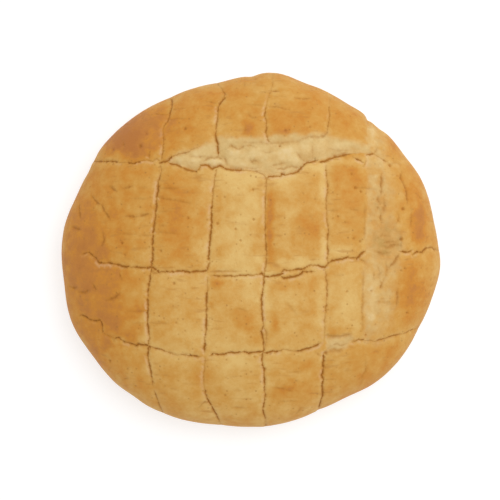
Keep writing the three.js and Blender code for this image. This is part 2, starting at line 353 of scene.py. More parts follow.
# Slashes that show as cracks, numbered from the left and from the top
SLASHES: dict[str, tuple[Run, ...]] = {
    "down_1": (
        Run(0.8, ((171.5, 100), (171.3, 105), (169.8, 110.5), (168.8, 114.5), (167, 120.5),
                  (163.3, 124.5))),
        Run(0.25, ((163.3, 124.5), (162.8, 131), (162.8, 136))),
        Run(0.6, ((162.8, 136), (162.6, 141), (162.4, 147), (162, 153), (161.3, 160))),
        Run(0.6, ((160.5, 165), (160.5, 171), (158.5, 180), (157.5, 186))),
        Run(1.0, ((157.5, 186), (156.5, 196.5), (155, 210), (153.2, 226), (152.8, 236), (152.3, 250),
                  (151.3, 265), (151, 268))),
        Run(1.0, ((151.3, 262), (150.9, 268), (150.6, 276), (149.5, 280))),
        Run(0.9, ((149.5, 280), (147.5, 288), (147.2, 300), (147, 315), (147, 325), (148, 334),
                  (149, 338), (147.6, 342.5), (147.4, 347))),
        Run(0.85, ((147.4, 345), (147, 355), (148, 363), (150, 371), (151, 378), (151.6, 385))),
        Run(0.7, ((154, 392.5), (157, 401), (159.3, 407), (162, 412))),
    ),
    "down_2": (
        Run(0.5, ((218, 84), (222, 88), (224.5, 93), (223.5, 97))),
        Run(1.5, ((223.5, 97), (220.5, 100.5), (218.7, 104))),
        Run(0.7, ((218.7, 104), (217.5, 115), (215.7, 130), (215.3, 136.5))),
        Run(1.0, ((215.3, 136.5), (217, 144), (217.6, 149), (217.5, 154.5))),
        Run(0.5, ((216, 168), (214.7, 179), (213, 190), (212, 204))),
        Run(0.9, ((212, 204), (211.2, 215), (211, 228), (210, 240), (209.3, 252), (208.5, 259))),
        Run(0.5, ((208.5, 259), (209.5, 263), (207.6, 268), (207.3, 271))),
        Run(0.3, ((208, 278), (207.5, 284), (206.8, 293))),
        Run(0.9, ((206.8, 293), (206.2, 300), (206, 315), (205.5, 330), (204.6, 345), (204.5, 352))),
        Run(0.3, ((205, 358), (204.5, 366), (203.5, 380), (204.5, 392))),
        Run(0.95, ((204.5, 392), (207, 401), (211, 408), (215, 415), (218.6, 422), (221.5, 427))),
    ),
    "down_3": (
        Run(0.2, ((272.5, 76), (272.6, 83), (271, 90), (267.5, 98), (266, 106))),
        Run(0.55, ((266, 106), (265.3, 110), (264.8, 114.5), (266.5, 121), (265.8, 131))),
        Run(0.5, ((265.8, 131), (267.5, 139), (271, 142.5))),
        Run(0.4, ((267.2, 178), (266, 183), (265.6, 194), (265.3, 207), (265.2, 220), (265.3, 235))),
        Run(0.6, ((265.3, 235), (266.3, 243), (266.4, 256), (265.5, 264), (264.7, 272), (263.8, 278))),
        Run(0.6, ((263.6, 277), (263.2, 285), (262, 293))),
        Run(0.72, ((262, 354), (264, 351), (264, 346), (262.5, 338), (261.8, 331), (263.6, 327),
                   (263.3, 322), (262, 312), (261, 300), (262, 293))),
        Run(0.8, ((262.5, 352), (262, 362), (264, 370), (265, 384), (264.3, 391), (265.5, 396.5),
                  (264, 404.5), (263, 411), (265, 418), (266, 426))),
    ),
    "down_4": (
        Run(0.15, ((331, 92), (330.2, 99), (329.5, 107))),
        Run(0.35, ((329.5, 107), (330, 113), (329.2, 120), (328.7, 125), (327.5, 131), (325, 135))),
        Run(0.55, ((326.3, 166), (326.5, 171), (327.5, 180), (328, 187))),
        Run(0.45, ((328, 187), (327, 196), (326.2, 202), (327.2, 210), (327.3, 222))),
        Run(0.62, ((327.3, 222), (327.8, 230), (327.8, 243), (327.7, 254), (327.8, 262))),
        Run(0.5, ((326, 270), (326, 277), (327, 285), (326.9, 292), (326.7, 300), (326.4, 311))),
        Run(0.28, ((326.4, 311), (324.7, 321), (325, 332), (324.3, 341))),
        Run(1.0, ((324, 355), (323.5, 368), (322.5, 377), (323.8, 381), (322.5, 386), (323.5, 394.5),
                  (321, 403), (319.5, 408), (319, 412))),
    ),
    "across_1": (
        Run(0.8, ((93, 161.5), (96, 161), (103, 161), (110, 160.8), (116.5, 161.8))),
        Run(0.25, ((116.5, 161.8), (122, 162), (127.5, 162.3))),
        Run(0.95, ((127.5, 162.3), (132, 163.2), (137, 161), (139, 160.5))),
        Run(0.3, ((139, 160.5), (146, 159.5), (152, 160.5), (156, 158.5), (160, 161.5))),
        Run(1.2, ((160, 162), (164, 161.5), (168, 159), (171, 156))),
        Run(0.4, ((171, 156), (180, 153.5), (186, 152), (193, 148.5), (199, 146.5))),
        Run(1.5, ((168, 162), (170, 163), (176, 164), (181, 166.5), (190, 170), (196, 171))),
        Run(0.8, ((196, 171), (199.5, 168.5), (201, 165))),
        Run(1.6, ((201, 165), (206, 164), (212, 168.5), (216, 167), (219, 165.3), (222, 165.3),
                  (226, 168.3), (231, 169.3), (241, 169.6))),
        Run(0.5, ((241, 169.6), (248, 170), (255, 170.5), (262, 173.5), (266.5, 178))),
        Run(0.9, ((267, 179), (269, 175.6), (275, 176), (281, 176), (282, 173.2), (285, 175), (292, 173),
                  (298, 171.5), (301, 168))),
        Run(1.0, ((301, 168), (305, 163.3), (309, 161.5))),
        Run(1.1, ((309, 161.5), (312.5, 160.7), (317, 159.5))),
        Run(1.5, ((319.5, 162), (325, 161), (330, 158.5), (334, 156.8))),
        Run(1.7, ((334, 156.8), (337.5, 155.4), (342, 154.5), (350, 153))),
        Run(0.8, ((353.8, 157), (358.4, 159.4), (363.8, 162.4))),
        Run(0.4, ((364.2, 166), (367.6, 160.5))),
        Run(1.4, ((368, 153.5), (371, 153.4), (374.5, 152.5))),
        Run(0.5, ((374.5, 152.5), (379.8, 157), (384, 159.2), (387.5, 161))),
    ),
    "across_2": (
        Run(0.7, ((81.5, 254.5), (84, 253.4), (88, 252.8), (94, 257.5), (98, 263.5))),
        Run(1.0, ((98, 263.5), (106.5, 263), (115, 264.5), (120.5, 266.5), (128, 267))),
        Run(0.7, ((128, 267), (140, 267.6), (147, 268))),
        Run(1.5, ((147, 268), (152, 268), (155, 270), (158, 272.3))),
        Run(0.6, ((158, 272.4), (166, 272))),
        Run(1.0, ((166, 272), (173, 272), (183, 271), (190, 272.5), (197, 271.5), (206, 271))),
        Run(0.6, ((211, 276), (223, 276.2), (238, 276), (250, 275.5), (262, 273.5))),
        Run(1.1, ((262, 273.5), (265, 277), (272, 276.6), (277, 275.5), (282, 273.5))),
        Run(1.0, ((281, 276.5), (284, 278), (293, 277), (299, 275.5), (303, 271.8))),
        Run(0.8, ((303, 271.8), (308, 271.6), (314, 271.5))),
        Run(0.9, ((282, 273), (284, 270.8), (293, 270), (302, 269), (307, 266.5), (311, 265.1),
                  (318, 265.5), (325, 267.2))),
        Run(0.9, ((325, 267.2), (328.5, 263), (333, 261), (341, 259.5), (348, 257.7))),
        Run(0.5, ((348, 257.7), (352, 258), (357, 258.2))),
        Run(1.0, ((357, 258.2), (360.5, 254.7), (366, 251))),
        Run(1.0, ((401, 251.3), (404, 251.4), (408, 252.5), (412.5, 250.5))),
        Run(0.9, ((413.8, 254.5), (417.8, 252), (423.4, 252.5), (424.6, 250), (428, 247.7),
                  (433.7, 247.3), (436, 249), (441, 250))),
    ),
    "across_3": (
        Run(0.8, ((79, 316), (81, 316), (84, 317), (88, 320))),
        Run(1.0, ((88, 320), (93, 321.5), (98.5, 321), (100.5, 324.5), (101.5, 333))),
        Run(0.3, ((101.5, 333), (107, 336), (113, 338.3))),
        Run(0.85, ((113.5, 340.5), (115, 339), (118, 339), (124, 342.5), (130, 344.5), (135.5, 346.3))),
        Run(1.15, ((135.5, 346.3), (138, 345.3), (146, 346), (149, 347.5))),
        Run(0.7, ((149, 347.5), (155, 349.3), (160, 350), (164, 351.5))),
        Run(0.5, ((164, 351.5), (170, 354), (176, 355.5), (184, 355), (190, 356.5))),
        Run(0.8, ((190, 356.5), (196, 357), (200, 357.5))),
        Run(1.0, ((209.5, 356.3), (213, 354), (217, 356), (221, 355.5), (229, 353.5), (236, 353.3),
                  (243, 352.3), (249, 354.3), (256, 353), (262, 351.5), (267, 353.5), (273, 352),
                  (278, 352))),
        Run(0.35, ((278, 352), (284, 350.2), (291, 351), (297, 351.5))),
        Run(0.9, ((297, 351.5), (301, 351.3), (309, 349), (316, 347), (320, 344))),
        Run(0.8, ((354, 342.5), (359, 340.5), (364, 341))),
        Run(0.3, ((364, 341), (370, 341.5), (377, 342))),
        Run(0.7, ((377, 342), (386, 339), (393, 336.5), (400, 335), (406, 333.3), (411, 330.7),
                  (418, 328))),
    ),
}

# Splits in the crust beside the slashes
SPLITS: tuple[Run, ...] = (
    Run(1.0, ((91, 196), (95, 200.5), (99, 204.5))),
    Run(1.3, ((101.5, 205.5), (104.5, 212), (109.5, 218.3))),
    Run(1.1, ((102.7, 233), (104, 239), (101.5, 245))),
    Run(1.0, ((72.5, 227), (77, 229.5), (80, 230))),
    Run(1.0, ((110, 187), (113, 189.5), (116, 191))),
    Run(0.6, ((123, 188.5), (127, 188), (132, 186))),
    Run(1.1, ((127, 216), (136, 217), (142, 215.3), (147, 214), (150, 214.5))),
    Run(0.7, ((150.8, 268.5), (153.5, 271), (150.7, 273.6), (158, 273.2))),
    Run(1.0, ((115, 297.5), (117, 295.5), (119, 293.5))),
    Run(0.7, ((263.6, 327), (266.5, 333), (266.2, 342), (264.6, 349))),
    Run(0.6, ((123, 380), (128, 377.5))),
    Run(0.6, ((206, 402), (203, 405), (199, 408))),
    Run(0.9, ((360, 259), (363, 260), (366, 262))),
    Run(1.2, ((390, 267), (394.5, 261.7), (399.5, 254.5))),
    Run(0.6, ((397, 290), (397.8, 297), (396.3, 306))),
    Run(0.9, ((381.7, 175), (381.8, 184), (381.5, 194.5))),
    Run(1.0, ((379, 197), (378, 199.5), (380, 203))),
    Run(0.7, ((382, 213), (381, 218), (382, 222))),
    Run(0.8, ((402, 172.5), (400.5, 178), (405, 187), (406.5, 193), (407.3, 203))),
    Run(0.7, ((411, 209), (411.3, 217), (410.8, 226))),
    Run(0.5, ((418, 195), (420, 198), (423, 199))),
    Run(0.3, ((397.5, 213), (398.5, 218), (396.5, 222.5))),
    Run(0.5, ((316.5, 353), (320, 356))),
    Run(0.6, ((123.7, 142.5), (123.3, 148.5))),
    Run(0.6, ((148.8, 152), (148.6, 158))),
    Run(0.6, ((207, 101.5), (213, 102), (216, 103))),
    Run(0.6, ((245.5, 126), (244.5, 132))),
    Run(1.1, ((272, 90), (278, 90.3))),
    Run(0.5, ((297, 413), (300.5, 408.5))),
    Run(0.6, ((378, 147.5), (374.8, 152.5))),
    Run(0.7, ((374, 273), (374.3, 279))),
    Run(1.3, ((70, 286), (72.5, 288.5), (75.5, 287.5))),
    Run(1.0, ((79, 292.5), (84, 293), (89, 290.5))),
    Run(1.2, ((92, 284.5), (95, 289.5))),
    Run(1.1, ((106, 300), (110.5, 299), (115, 297.5))),
    Run(0.9, ((119, 273.5), (121, 279.5))),
    Run(0.8, ((79, 203), (78.5, 210), (79.5, 217))),
    Run(0.5, ((244.5, 82), (244.3, 85.5))),
    Run(0.8, ((382, 284), (381, 287), (383.5, 281))),
    Run(0.5, ((379, 268), (380.5, 273), (378.5, 277))),
    Run(0.4, ((386, 262), (387.5, 270), (384.5, 279))),
    Run(0.6, ((380.5, 281.5), (382.3, 286))),
)

# Creases along slashes and on the torn floors
CREASES: tuple[Run, ...] = (
    Run(0.6, ((365, 204), (364.5, 215), (364.6, 226), (364.6, 238))),
    Run(0.7, ((363.8, 272), (363.3, 285), (362.8, 300), (362.4, 318), (362.6, 330))),
    Run(0.4, ((365.4, 361), (366, 371), (362, 376), (361, 384))),
    Run(0.6, ((166, 352), (170, 354), (176, 355.3), (184, 354.8), (189, 354.5))),
    Run(0.7, ((328, 130.5), (325, 135), (317, 136.5), (309, 136.6), (303, 138.5), (298, 141))),
    Run(0.5, ((298, 141), (290, 141.3), (283, 142.5), (272, 142), (258, 142), (245, 142))),
    Run(1.6, ((326.5, 336.3), (329, 336.5), (338, 337), (344, 336.3), (350, 335))),
    Run(1.2, ((327, 352), (339, 351.8), (343.5, 349))),
    Run(0.8, ((383, 246), (389, 247.5), (395, 244.5), (401, 245))),
    Run(0.7, ((384, 243.5), (390, 241.5), (397, 242.5))),
    Run(0.6, ((377, 238), (383, 235), (390, 236))),
    Run(0.7, ((376, 251), (383, 254), (391, 252))),
    Run(0.6, ((384, 199), (385.5, 206), (383.5, 214))),
    Run(0.4, ((287, 303), (291, 308), (296, 314))),
    Run(0.9, ((248, 113), (250, 117), (256, 118))),
)

# Folds of the torn dough
FOLDS: tuple[Run, ...] = (
    Run(1.0, ((229, 146.5), (230.5, 144.5), (236, 148), (241, 148), (243.5, 145.5))),
    Run(0.7, ((243.5, 145.5), (250, 145), (256, 146.5))),
    Run(1.0, ((250, 159), (252, 161.5), (254, 159.5), (258, 161))),
    Run(1.0, ((222, 156), (225, 158.5), (226.5, 162.5))),
    Run(1.2, ((204, 160.5), (207, 158.5), (211, 157.3), (218, 157), (222, 159.5))),
    Run(0.6, ((190, 156), (196, 157), (203, 156))),
    Run(0.6, ((271, 165.8), (274, 164.2), (279, 163.8), (287, 162))),
    Run(0.8, ((276, 167.5), (284, 168.5), (290, 166))),
    Run(0.8, ((289, 165), (294, 165.6), (300, 167.5))),
    Run(0.9, ((297.5, 152.5), (300, 155.5), (305.5, 161))),
    Run(0.6, ((313, 147), (313.2, 152), (312.5, 158))),
    Run(0.5, ((244, 166.5), (252, 168), (260, 167))),
    Run(0.5, ((262, 150), (268, 152), (272, 150.5))),
    Run(0.5, ((330, 148), (340, 150), (350, 149))),
    Run(0.6, ((332, 346), (337, 344.5), (341, 346.5), (346, 345))),
)

# Wrinkles of the skin
WRINKLES: tuple[Run, ...] = (
    Run(0.8, ((162, 188.5), (178, 188.8))),
    Run(0.8, ((159, 198), (178, 201), (189, 203))),
    Run(0.5, ((160, 211.5), (171, 211.5))),
    Run(0.9, ((160, 226), (165, 226))),
    Run(0.7, ((155, 232), (166, 232.5), (176, 234))),
    Run(0.6, ((140, 188), (146, 188))),
    Run(0.4, ((140, 226), (150, 226))),
    Run(0.6, ((140, 235.5), (152, 235.5))),
    Run(0.4, ((120, 234), (134, 234.5))),
    Run(0.5, ((132, 198.5), (147, 198.8))),
    Run(0.4, ((78, 209.5), (95, 210.5))),
    Run(0.5, ((138, 248.5), (149, 248))),
    Run(0.7, ((208, 306.5), (211.5, 306.3))),
    Run(0.7, ((208, 318.5), (212, 318.3))),
    Run(0.6, ((238, 309), (246, 311))),
    Run(0.7, ((329, 210.5), (336, 210.6))),
    Run(0.8, ((351, 210), (357, 210.2))),
    Run(0.7, ((309, 214.5), (312, 219))),
    Run(0.6, ((215, 211), (219, 211))),
    Run(0.6, ((355, 187.8), (362, 187.5), (369, 188))),
    Run(0.8, ((155.5, 114), (166, 113.6))),
    Run(0.7, ((172, 108.6), (184, 108.3))),
    Run(0.5, ((168, 119), (176, 118), (184, 118.5))),
    Run(0.5, ((166, 132), (175, 130))),
    Run(0.9, ((270, 106), (278, 106.5), (284, 108.5), (290, 109.8))),
    Run(0.5, ((248, 104), (262, 104.5))),
    Run(1.1, ((295, 98), (303, 99), (310, 98.3))),
    Run(0.5, ((281, 96), (286, 96.5))),
    Run(0.5, ((128, 312), (147, 311.5))),
    Run(0.5, ((134, 323.5), (150, 323.3), (168, 323.5))),
    Run(0.5, ((288, 372.5), (300, 372))),
    Run(0.9, ((275, 388), (284, 389), (292, 391))),
    Run(0.4, ((280, 401), (295, 401.3))),
    Run(0.5, ((232, 408), (246, 408.3))),
    Run(0.4, ((335, 275.5), (342, 275.3))),
    Run(0.6, ((377, 302), (387, 302))),
    Run(0.7, ((214, 271.8), (228, 271.6), (240, 271.5))),
)

# Tears along the first slash across and the last one down, and two small ones
TEARS: tuple[Tear, ...] = (
    Tear(
        lip=((168, 161.5), (176, 163.5), (190, 169.5), (196, 170.5), (201, 165), (206, 164), (212, 168),
             (222, 165.3), (231, 169.3), (248, 170), (262, 173.5), (269, 176), (286, 174.5),
             (298, 171.5), (306, 163.3), (317, 160), (334, 157), (350, 153), (362, 152.5), (371, 153.5)),
        far=((168, 160.5), (174, 155.5), (186, 151.5), (199, 146), (210, 141.5), (220, 137), (250, 136),
             (274, 136), (295, 134), (310, 132.5), (326, 133), (335, 137.5), (345, 140.5), (355, 143),
             (362, 144), (371, 143)),
        sink=2.0, edge=0.1, pale=1.0, patchy=0.2, lip_fade=1.5, far_fade=7.0,
    ),
    Tear(
        lip=((367, 114), (366, 140), (366, 165), (367, 190), (366, 220), (366, 245), (364.5, 270),
             (364, 300), (364, 318), (365, 338), (367, 344)),
        far=((377, 119), (380, 130), (386, 150), (394, 172), (395, 190), (393, 210), (396, 230),
             (398, 250), (396, 275), (394, 300), (389, 320), (382, 334), (374, 342)),
        sink=1.1, edge=0.0, pale=0.72, patchy=0.6, lip_fade=5.0, far_fade=18.0,
    ),
    Tear(
        lip=((373, 234), (380, 226), (392, 226), (402, 234)),
        far=((373, 250), (384, 259), (394, 259), (402, 249)),
        sink=0.5, edge=0.5, pale=0.9, patchy=0.35, lip_fade=11.0, far_fade=11.0,
    ),
    Tear(
        lip=((327, 352), (339, 351), (347, 348), (354, 342)),
        far=((326, 338), (339, 337), (350, 335.5), (355, 339)),
        sink=1.0, edge=0.6, pale=0.85, patchy=0.3, lip_fade=5.0, far_fade=4.0,
    ),
)

# Mounds and hollows of the torn floors; the floors are paler on mounds and darker in hollows, as painted
# light and shade
MOUNDS: tuple[Mound, ...] = (
    Mound((187, 160.5), (12, 6), 0.7), Mound((213, 162), (10, 4.5), 0.8), Mound((200, 153), (10, 5), 0.4),
    Mound((234, 153), (9, 5), 0.5), Mound((238, 163), (10, 4), 0.6), Mound((256, 153), (8, 6), 0.5),
    Mound((257, 167), (9, 4), 0.4), Mound((283, 152), (11, 7), 0.9), Mound((281, 168.5), (9, 3.5), 0.6),
    Mound((295, 158), (6, 6), 0.5), Mound((306, 147), (6, 7), 0.5), Mound((320, 146), (7, 7), 0.7),
    Mound((340, 146.5), (12, 5), 0.5), Mound((240, 139.5), (16, 3), 0.3),
    Mound((371.5, 134), (5, 11), 0.8), Mound((373, 183), (5, 9), 0.4), Mound((371, 302), (6, 28), 0.6),
    Mound((386, 244), (18, 18), -0.9), Mound((386, 207), (14, 24), -0.5),
    Mound((338, 344.5), (12, 6), 0.55),
)

# Pores that show one by one
PORES: tuple[Pore, ...] = (
    Pore((140, 146), 1.6), Pore((185, 128.5), 1.5), Pore((403, 209), 1.6), Pore((402, 239), 1.5),
    Pore((208.5, 259), 1.4), Pore((217.3, 223.5), 1.3), Pore((253, 189.5), 1.2),
    Pore((253.5, 219.5), 1.2), Pore((235.5, 229), 1.2), Pore((110, 361), 1.3), Pore((390.5, 165), 1.5),
    Pore((355.3, 187.7), 1.4), Pore((360.7, 191.5), 1.3), Pore((405, 268.5), 1.2),
    Pore((401, 270.5), 1.1), Pore((407, 313), 1.3), Pore((279.8, 145.5), 1.3), Pore((188, 218), 1.2),
    Pore((160.5, 251), 1.3), Pore((238, 188.5), 0.9), Pore((240.5, 240.5), 1.2), Pore((224.5, 197), 1.1),
    Pore((121.7, 243.2), 1.4), Pore((121, 204.5), 1.1), Pore((150, 205.5), 0.9), Pore((134.5, 220), 1.0),
    Pore((124.5, 255), 1.2), Pore((173.8, 283.5), 1.4), Pore((185, 293.5), 1.0),
    Pore((163.5, 318.5), 1.1), Pore((176, 323), 1.1), Pore((185, 331), 1.0), Pore((274, 244.5), 1.1),
    Pore((351.5, 174), 1.2), Pore((338, 216.5), 1.2), Pore((345, 222), 1.1), Pore((360.3, 241.3), 1.3),
    Pore((303, 193.5), 1.0), Pore((315, 199), 1.1), Pore((353.5, 238.5), 1.2), Pore((146.2, 133.8), 1.1),
    Pore((113.2, 150), 1.1), Pore((285.5, 130), 1.2), Pore((310, 127), 1.1), Pore((138, 329), 1.0),
    Pore((127.5, 369), 1.1), Pore((135.5, 386), 1.1), Pore((254.5, 357), 1.1), Pore((326, 354), 1.7),
    Pore((366.7, 336), 1.2), Pore((347, 291.5), 1.2), Pore((330, 318.5), 1.0), Pore((296.5, 336.5), 1.0),
    Pore((295.5, 295), 1.0), Pore((251, 372.5), 1.1), Pore((227.5, 379), 1.0), Pore((296, 381), 1.1),
    Pore((225, 396), 1.1), Pore((371.5, 291), 1.2), Pore((378.5, 207.5), 1.1), Pore((382.5, 219.5), 1.0),
    Pore((396.5, 176), 1.0), Pore((398, 221), 1.1), Pore((374, 199), 0.9),
)

# Browner and paler crust, by where it lies; the broad pale patch that opens the middle cells is painted
# light
PATCHES: dict[str, tuple[Patch, ...]] = {
    "upper_left": (
        Patch((131, 136), (34, 21), 0.60), Patch((128, 143), (15, 11), 0.22),
        Patch((160, 122), (24, 12), 0.18), Patch((122, 173), (22, 9), 0.20),
    ),
    "left": (
        Patch((86, 258), (38, 84), 0.44), Patch((106, 325), (34, 44), 0.24),
        Patch((122, 329), (11, 8), 0.20),
    ),
    "top": (
        Patch((205, 112), (95, 22), 0.20), Patch((248, 128), (7, 7), 0.34, 1.5),
        Patch((283, 132), (12, 5), 0.26), Patch((312, 115), (18, 18), 0.14),
        Patch((345, 122), (16, 14), 0.18), Patch((199, 114), (12, 7), -0.20),
        Patch((262, 122), (9, 14), -0.16),
    ),
    "along_across_1": (
        Patch((244, 176), (22, 6), -0.44), Patch((284, 179), (22, 8), -0.36),
        Patch((314, 168), (12, 4), -0.40), Patch((346, 161.5), (18, 5), -0.42),
    ),
    "along_across_2": (
        Patch((205, 250), (10, 14), -0.28, 1.5), Patch((240, 268), (22, 16), -0.34, 2.0),
        Patch((300, 262), (26, 6), -0.36, 2.0), Patch((341, 253), (12, 5), -0.45),
    ),
    "along_down_2": (
        Patch((203, 374), (11, 26), 0.38),
    ),
    "along_down_3": (
        Patch((270, 222), (3.6, 28), 0.42, 1.5), Patch((269, 250), (4.5, 14), 0.30),
        Patch((272, 200), (6, 18), 0.10), Patch((267.5, 303), (3, 22), -0.28),
    ),
    "along_down_4": (
        Patch((323, 185), (3.5, 20), -0.32, 1.5), Patch((323, 243), (3.5, 18), -0.34, 1.5),
        Patch((320, 300), (4, 30), -0.30, 1.5),
    ),
    "upper_cells": (
        Patch((179, 212), (22, 40), 0.24, 2.0), Patch((236, 215), (24, 50), -0.36, 2.0),
        Patch((222, 214), (11, 17), 0.24), Patch((256, 195), (9, 14), -0.18),
        Patch((288, 222), (8, 40), -0.14), Patch((311, 230), (11, 18), 0.24, 1.5),
        Patch((346, 183), (13, 30), 0.20, 2.0),
    ),
    "middle_cells": (
        # Painted light: the first patch pales the lower middle, which the key light leaves darker
        Patch((235, 345), (105, 75), -0.19, 3.0), Patch((215, 283), (6, 5), 0.44),
        Patch((251, 294), (10, 12), -0.20), Patch((251, 323), (10, 10), 0.26),
        Patch((237, 318), (10, 9), 0.14), Patch((222, 342), (11, 9), -0.12),
        Patch((256, 337), (8, 10), 0.28), Patch((288, 284), (12, 6), 0.18),
        Patch((275, 321), (5, 8), 0.40), Patch((279, 330), (15, 18), 0.18),
        Patch((346, 302), (18, 34), -0.34, 2.0), Patch((336, 331), (7, 5), 0.34),
        Patch((356, 330), (8, 8), -0.22),
    ),
    "lower_cells": (
        Patch((236, 364), (18, 10), -0.32), Patch((307, 365), (11, 7), 0.28),
        Patch((284, 390), (10, 3.5), 0.28), Patch((300, 392), (30, 12), 0.16),
        Patch((366, 382), (30, 15), 0.14), Patch((390, 357), (14, 16), 0.24),
        Patch((235, 417), (40, 6), -0.08), Patch((280, 412), (17, 8), -0.20),
    ),
    "right": (
        Patch((374, 138), (6, 10), -0.26), Patch((394, 146), (6, 8), 0.30),
        Patch((411, 190), (11, 16), 0.34), Patch((419, 224), (9, 22), 0.42, 2.0),
        Patch((411, 285), (13, 24), 0.38, 2.0), Patch((376, 300), (13, 32), -0.25),
    ),
}


@dataclass(frozen=True)
class LoafForm:
    """Bare form of the loaf: an uneven round outline and a domed section over a round flank.

    Attributes:
        width: Width of the loaf along X.
        height: Height of the loaf.
        waist: Height at which the loaf is widest.
        base_share: Reach of the flat underside, as a share of the waist's radius.
        crown_power: How boxy the crown's section is; 2 is an ellipse.
        crown_end: Share of the radius at which the crown ends, just above the waist.
        outline_steps: Steps round the outline by which its box is measured.
        section_steps: Steps down the crown, and down the flank, by which the section is measured.
        radii: The waist's radii at even steps round from +X towards +Y.
    """

    width: float
    height: float
    waist: float = 24.0
    base_share: float = 0.86
    crown_power: float = 2.6
    crown_end: float = 0.998
    outline_steps: int = 720
    section_steps: int = 400
    radii: tuple[float, ...] = (120, 118, 114, 112, 113.5, 108.5, 110, 115, 115,
                                120, 122.5, 121, 118, 113, 112, 111, 117, 119)

    def raw_radius(self, around: Array) -> Array:
        """Reads the waist's radius, before it is fitted, off a smooth closed curve through the radii.

        Args:
            around: Angles round from +X, in radians.

        Returns:
            One radius an angle, with the bulges.
        """
        radii = np.array(self.radii)
        count = len(radii)
        place = np.mod(around / math.tau, 1.0) * count
        first = np.floor(place).astype(int)
        rest = place - first
        before, start, end, after = (radii[(first + step) % count] for step in (-1, 0, 1, 2))
        bend = 2 * before - 5 * start + 4 * end - after
        twist = 3 * start - before - 3 * end + after
        radius = 0.5 * (2 * start + (end - before) * rest + bend * rest ** 2 + twist * rest ** 3)
        for bulge in BULGES:
            off = np.mod(np.degrees(around) - bulge.around + 180.0, 360.0) - 180.0
            radius = radius + bulge.height * bell(off, bulge.spread)
        return radius

    def fit(self) -> tuple[float, Array]:
        """Fits the outline to the loaf's width.

        Returns:
            The scale of the radii, and the middle of the fitted outline's box.
        """
        around = np.linspace(0.0, math.tau, self.outline_steps, endpoint=False)
        outline = self.raw_radius(around) * np.array((np.cos(around), np.sin(around)))
        low, high = outline.min(axis=1), outline.max(axis=1)
        scale = self.width / (high[0] - low[0])
        return scale, scale * (low + high) / 2

    def section(self, lift: Array) -> tuple[Array, Array]:
        """Reads the section.

        Args:
            lift: Angles up from the waist, from -90 to 90 degrees, in radians.

        Returns:
            The share of the radius and the level at each angle.
        """
        crown_share = np.cos(np.clip(lift, 0.0, math.pi / 2)) ** (2.0 / self.crown_power)
        flank_share = self.base_share + (1.0 - self.base_share) * np.cos(lift)
        share = np.where(lift > 0.0, crown_share, flank_share)
        reach = np.where(lift > 0.0, self.height - self.waist, self.waist)
        return share, self.waist + reach * np.sin(lift)

    def surface(self, around: Array, lift: Array) -> Array:
        """Places points on the form.

        Args:
            around: Angles round from +X, in radians.
            lift: Angles up from the waist, in radians.

        Returns:
            The points, one a row.
        """
        scale, (middle_x, middle_y) = self.fit()
        share, level = self.section(lift)
        reach = share * scale * self.raw_radius(around)
        x, y = reach * np.cos(around) - middle_x, reach * np.sin(around) - middle_y
        return np.stack((x, y, level), axis=1)

    def polar(self, plan: Array) -> tuple[Array, Array]:
        """Finds where points lie in plan.

        Args:
            plan: Points, one a row; their height isn't looked at.

        Returns:
            The angle round and the share of the radius at each point.
        """
        scale, middle = self.fit()
        x, y = (plan[:, :2] + middle).T
        around = np.arctan2(y, x)
        return around, np.hypot(x, y) / (scale * self.raw_radius(around))

    def crown(self, plan: Array) -> Array:
        """Finds the points of the crown above points in plan.

        Args:
            plan: Points in plan, one a row; those outside come to the crown's end.

        Returns:
            The points of the crown, one a row.
        """
        around, share = self.polar(plan)
        lift = np.arccos(np.clip(share, 0.0, self.crown_end) ** (self.crown_power / 2.0))
        return self.surface(around, lift)

    def even_lifts(self, shares: Array) -> Array:
        """Spaces angles evenly along the section, from the top to the edge of the underside.

        Args:
            shares: Shares of the way down, from 0 to 1.

        Returns:
            The angle up from the waist at each share, in radians.
        """
        steps = np.linspace(0.0, 1.0, self.section_steps)
        lifts = math.pi / 2 * np.concatenate((1.0 - steps ** 2, -steps[1:]))
        reach, level = self.section(lifts)
        lengths = np.hypot(np.diff(reach) * self.width / 2, np.diff(level))
        gone = np.concatenate(((0.0,), np.cumsum(lengths)))
        return np.interp(shares, gone / gone[-1], lifts)


@dataclass(frozen=True)
class PhotoView:
    """The photograph's view, straight down on the loaf, and how its pixels lie on the loaf.

    Attributes:
        form: The loaf that is seen.
        pixels: Width and height of the picture.
        loaf_pixels: Width of the loaf in the picture.
        lens: Focal length of the camera.
        sensor: Width of the camera's sensor.
        eye: Where the camera stands in plan; the loaf isn't quite in the picture's middle.
        rounds: Rounds by which a place in the picture is settled on the crown.
    """

    form: LoafForm
    pixels: int = 500
    loaf_pixels: float = 378.5
    lens: float = 100.0
    sensor: float = 36.0
    eye: tuple[float, float] = (-0.72, -0.26)
    rounds: int = 6

    @property
    def middle(self) -> float:
        """Middle of the picture, across and down."""
        return self.pixels / 2

    @property
    def pixel(self) -> float:
        """Size of a pixel at the loaf's waist."""
        return self.form.width / self.loaf_pixels

    @property
    def distance(self) -> float:
        """Distance from the camera down to the waist's plane."""
        return self.lens / self.sensor * self.pixels * self.pixel

    def places(self, points: Array) -> Array:
        """Finds where the picture shows points in space.

        Args:
            points: Points in space, one a row.

        Returns:
            Their places in the picture, one a row.
        """
        nearness = self.distance / (self.distance - points[:, 2] + self.form.waist)
        seen = (points[:, :2] - np.array(self.eye)) * nearness[:, None] / self.pixel
        return np.stack((self.middle + seen[:, 0], self.middle - seen[:, 1]), axis=1)

    def lay(self, trace: Trace) -> Array:
        """Lays a trace on the crown.

        Args:
            trace: Places in the picture.

        Returns:
            Points on the crown, one a row.
        """
        flat = np.array([(x - self.middle, self.middle - y) for x, y in trace]) * self.pixel
        points = self.form.crown(flat + np.array(self.eye))
        for _ in range(self.rounds):
            nearness = 1.0 - (points[:, 2] - self.form.waist) / self.distance
            points = self.form.crown(flat * nearness[:, None] + np.array(self.eye))
        return points


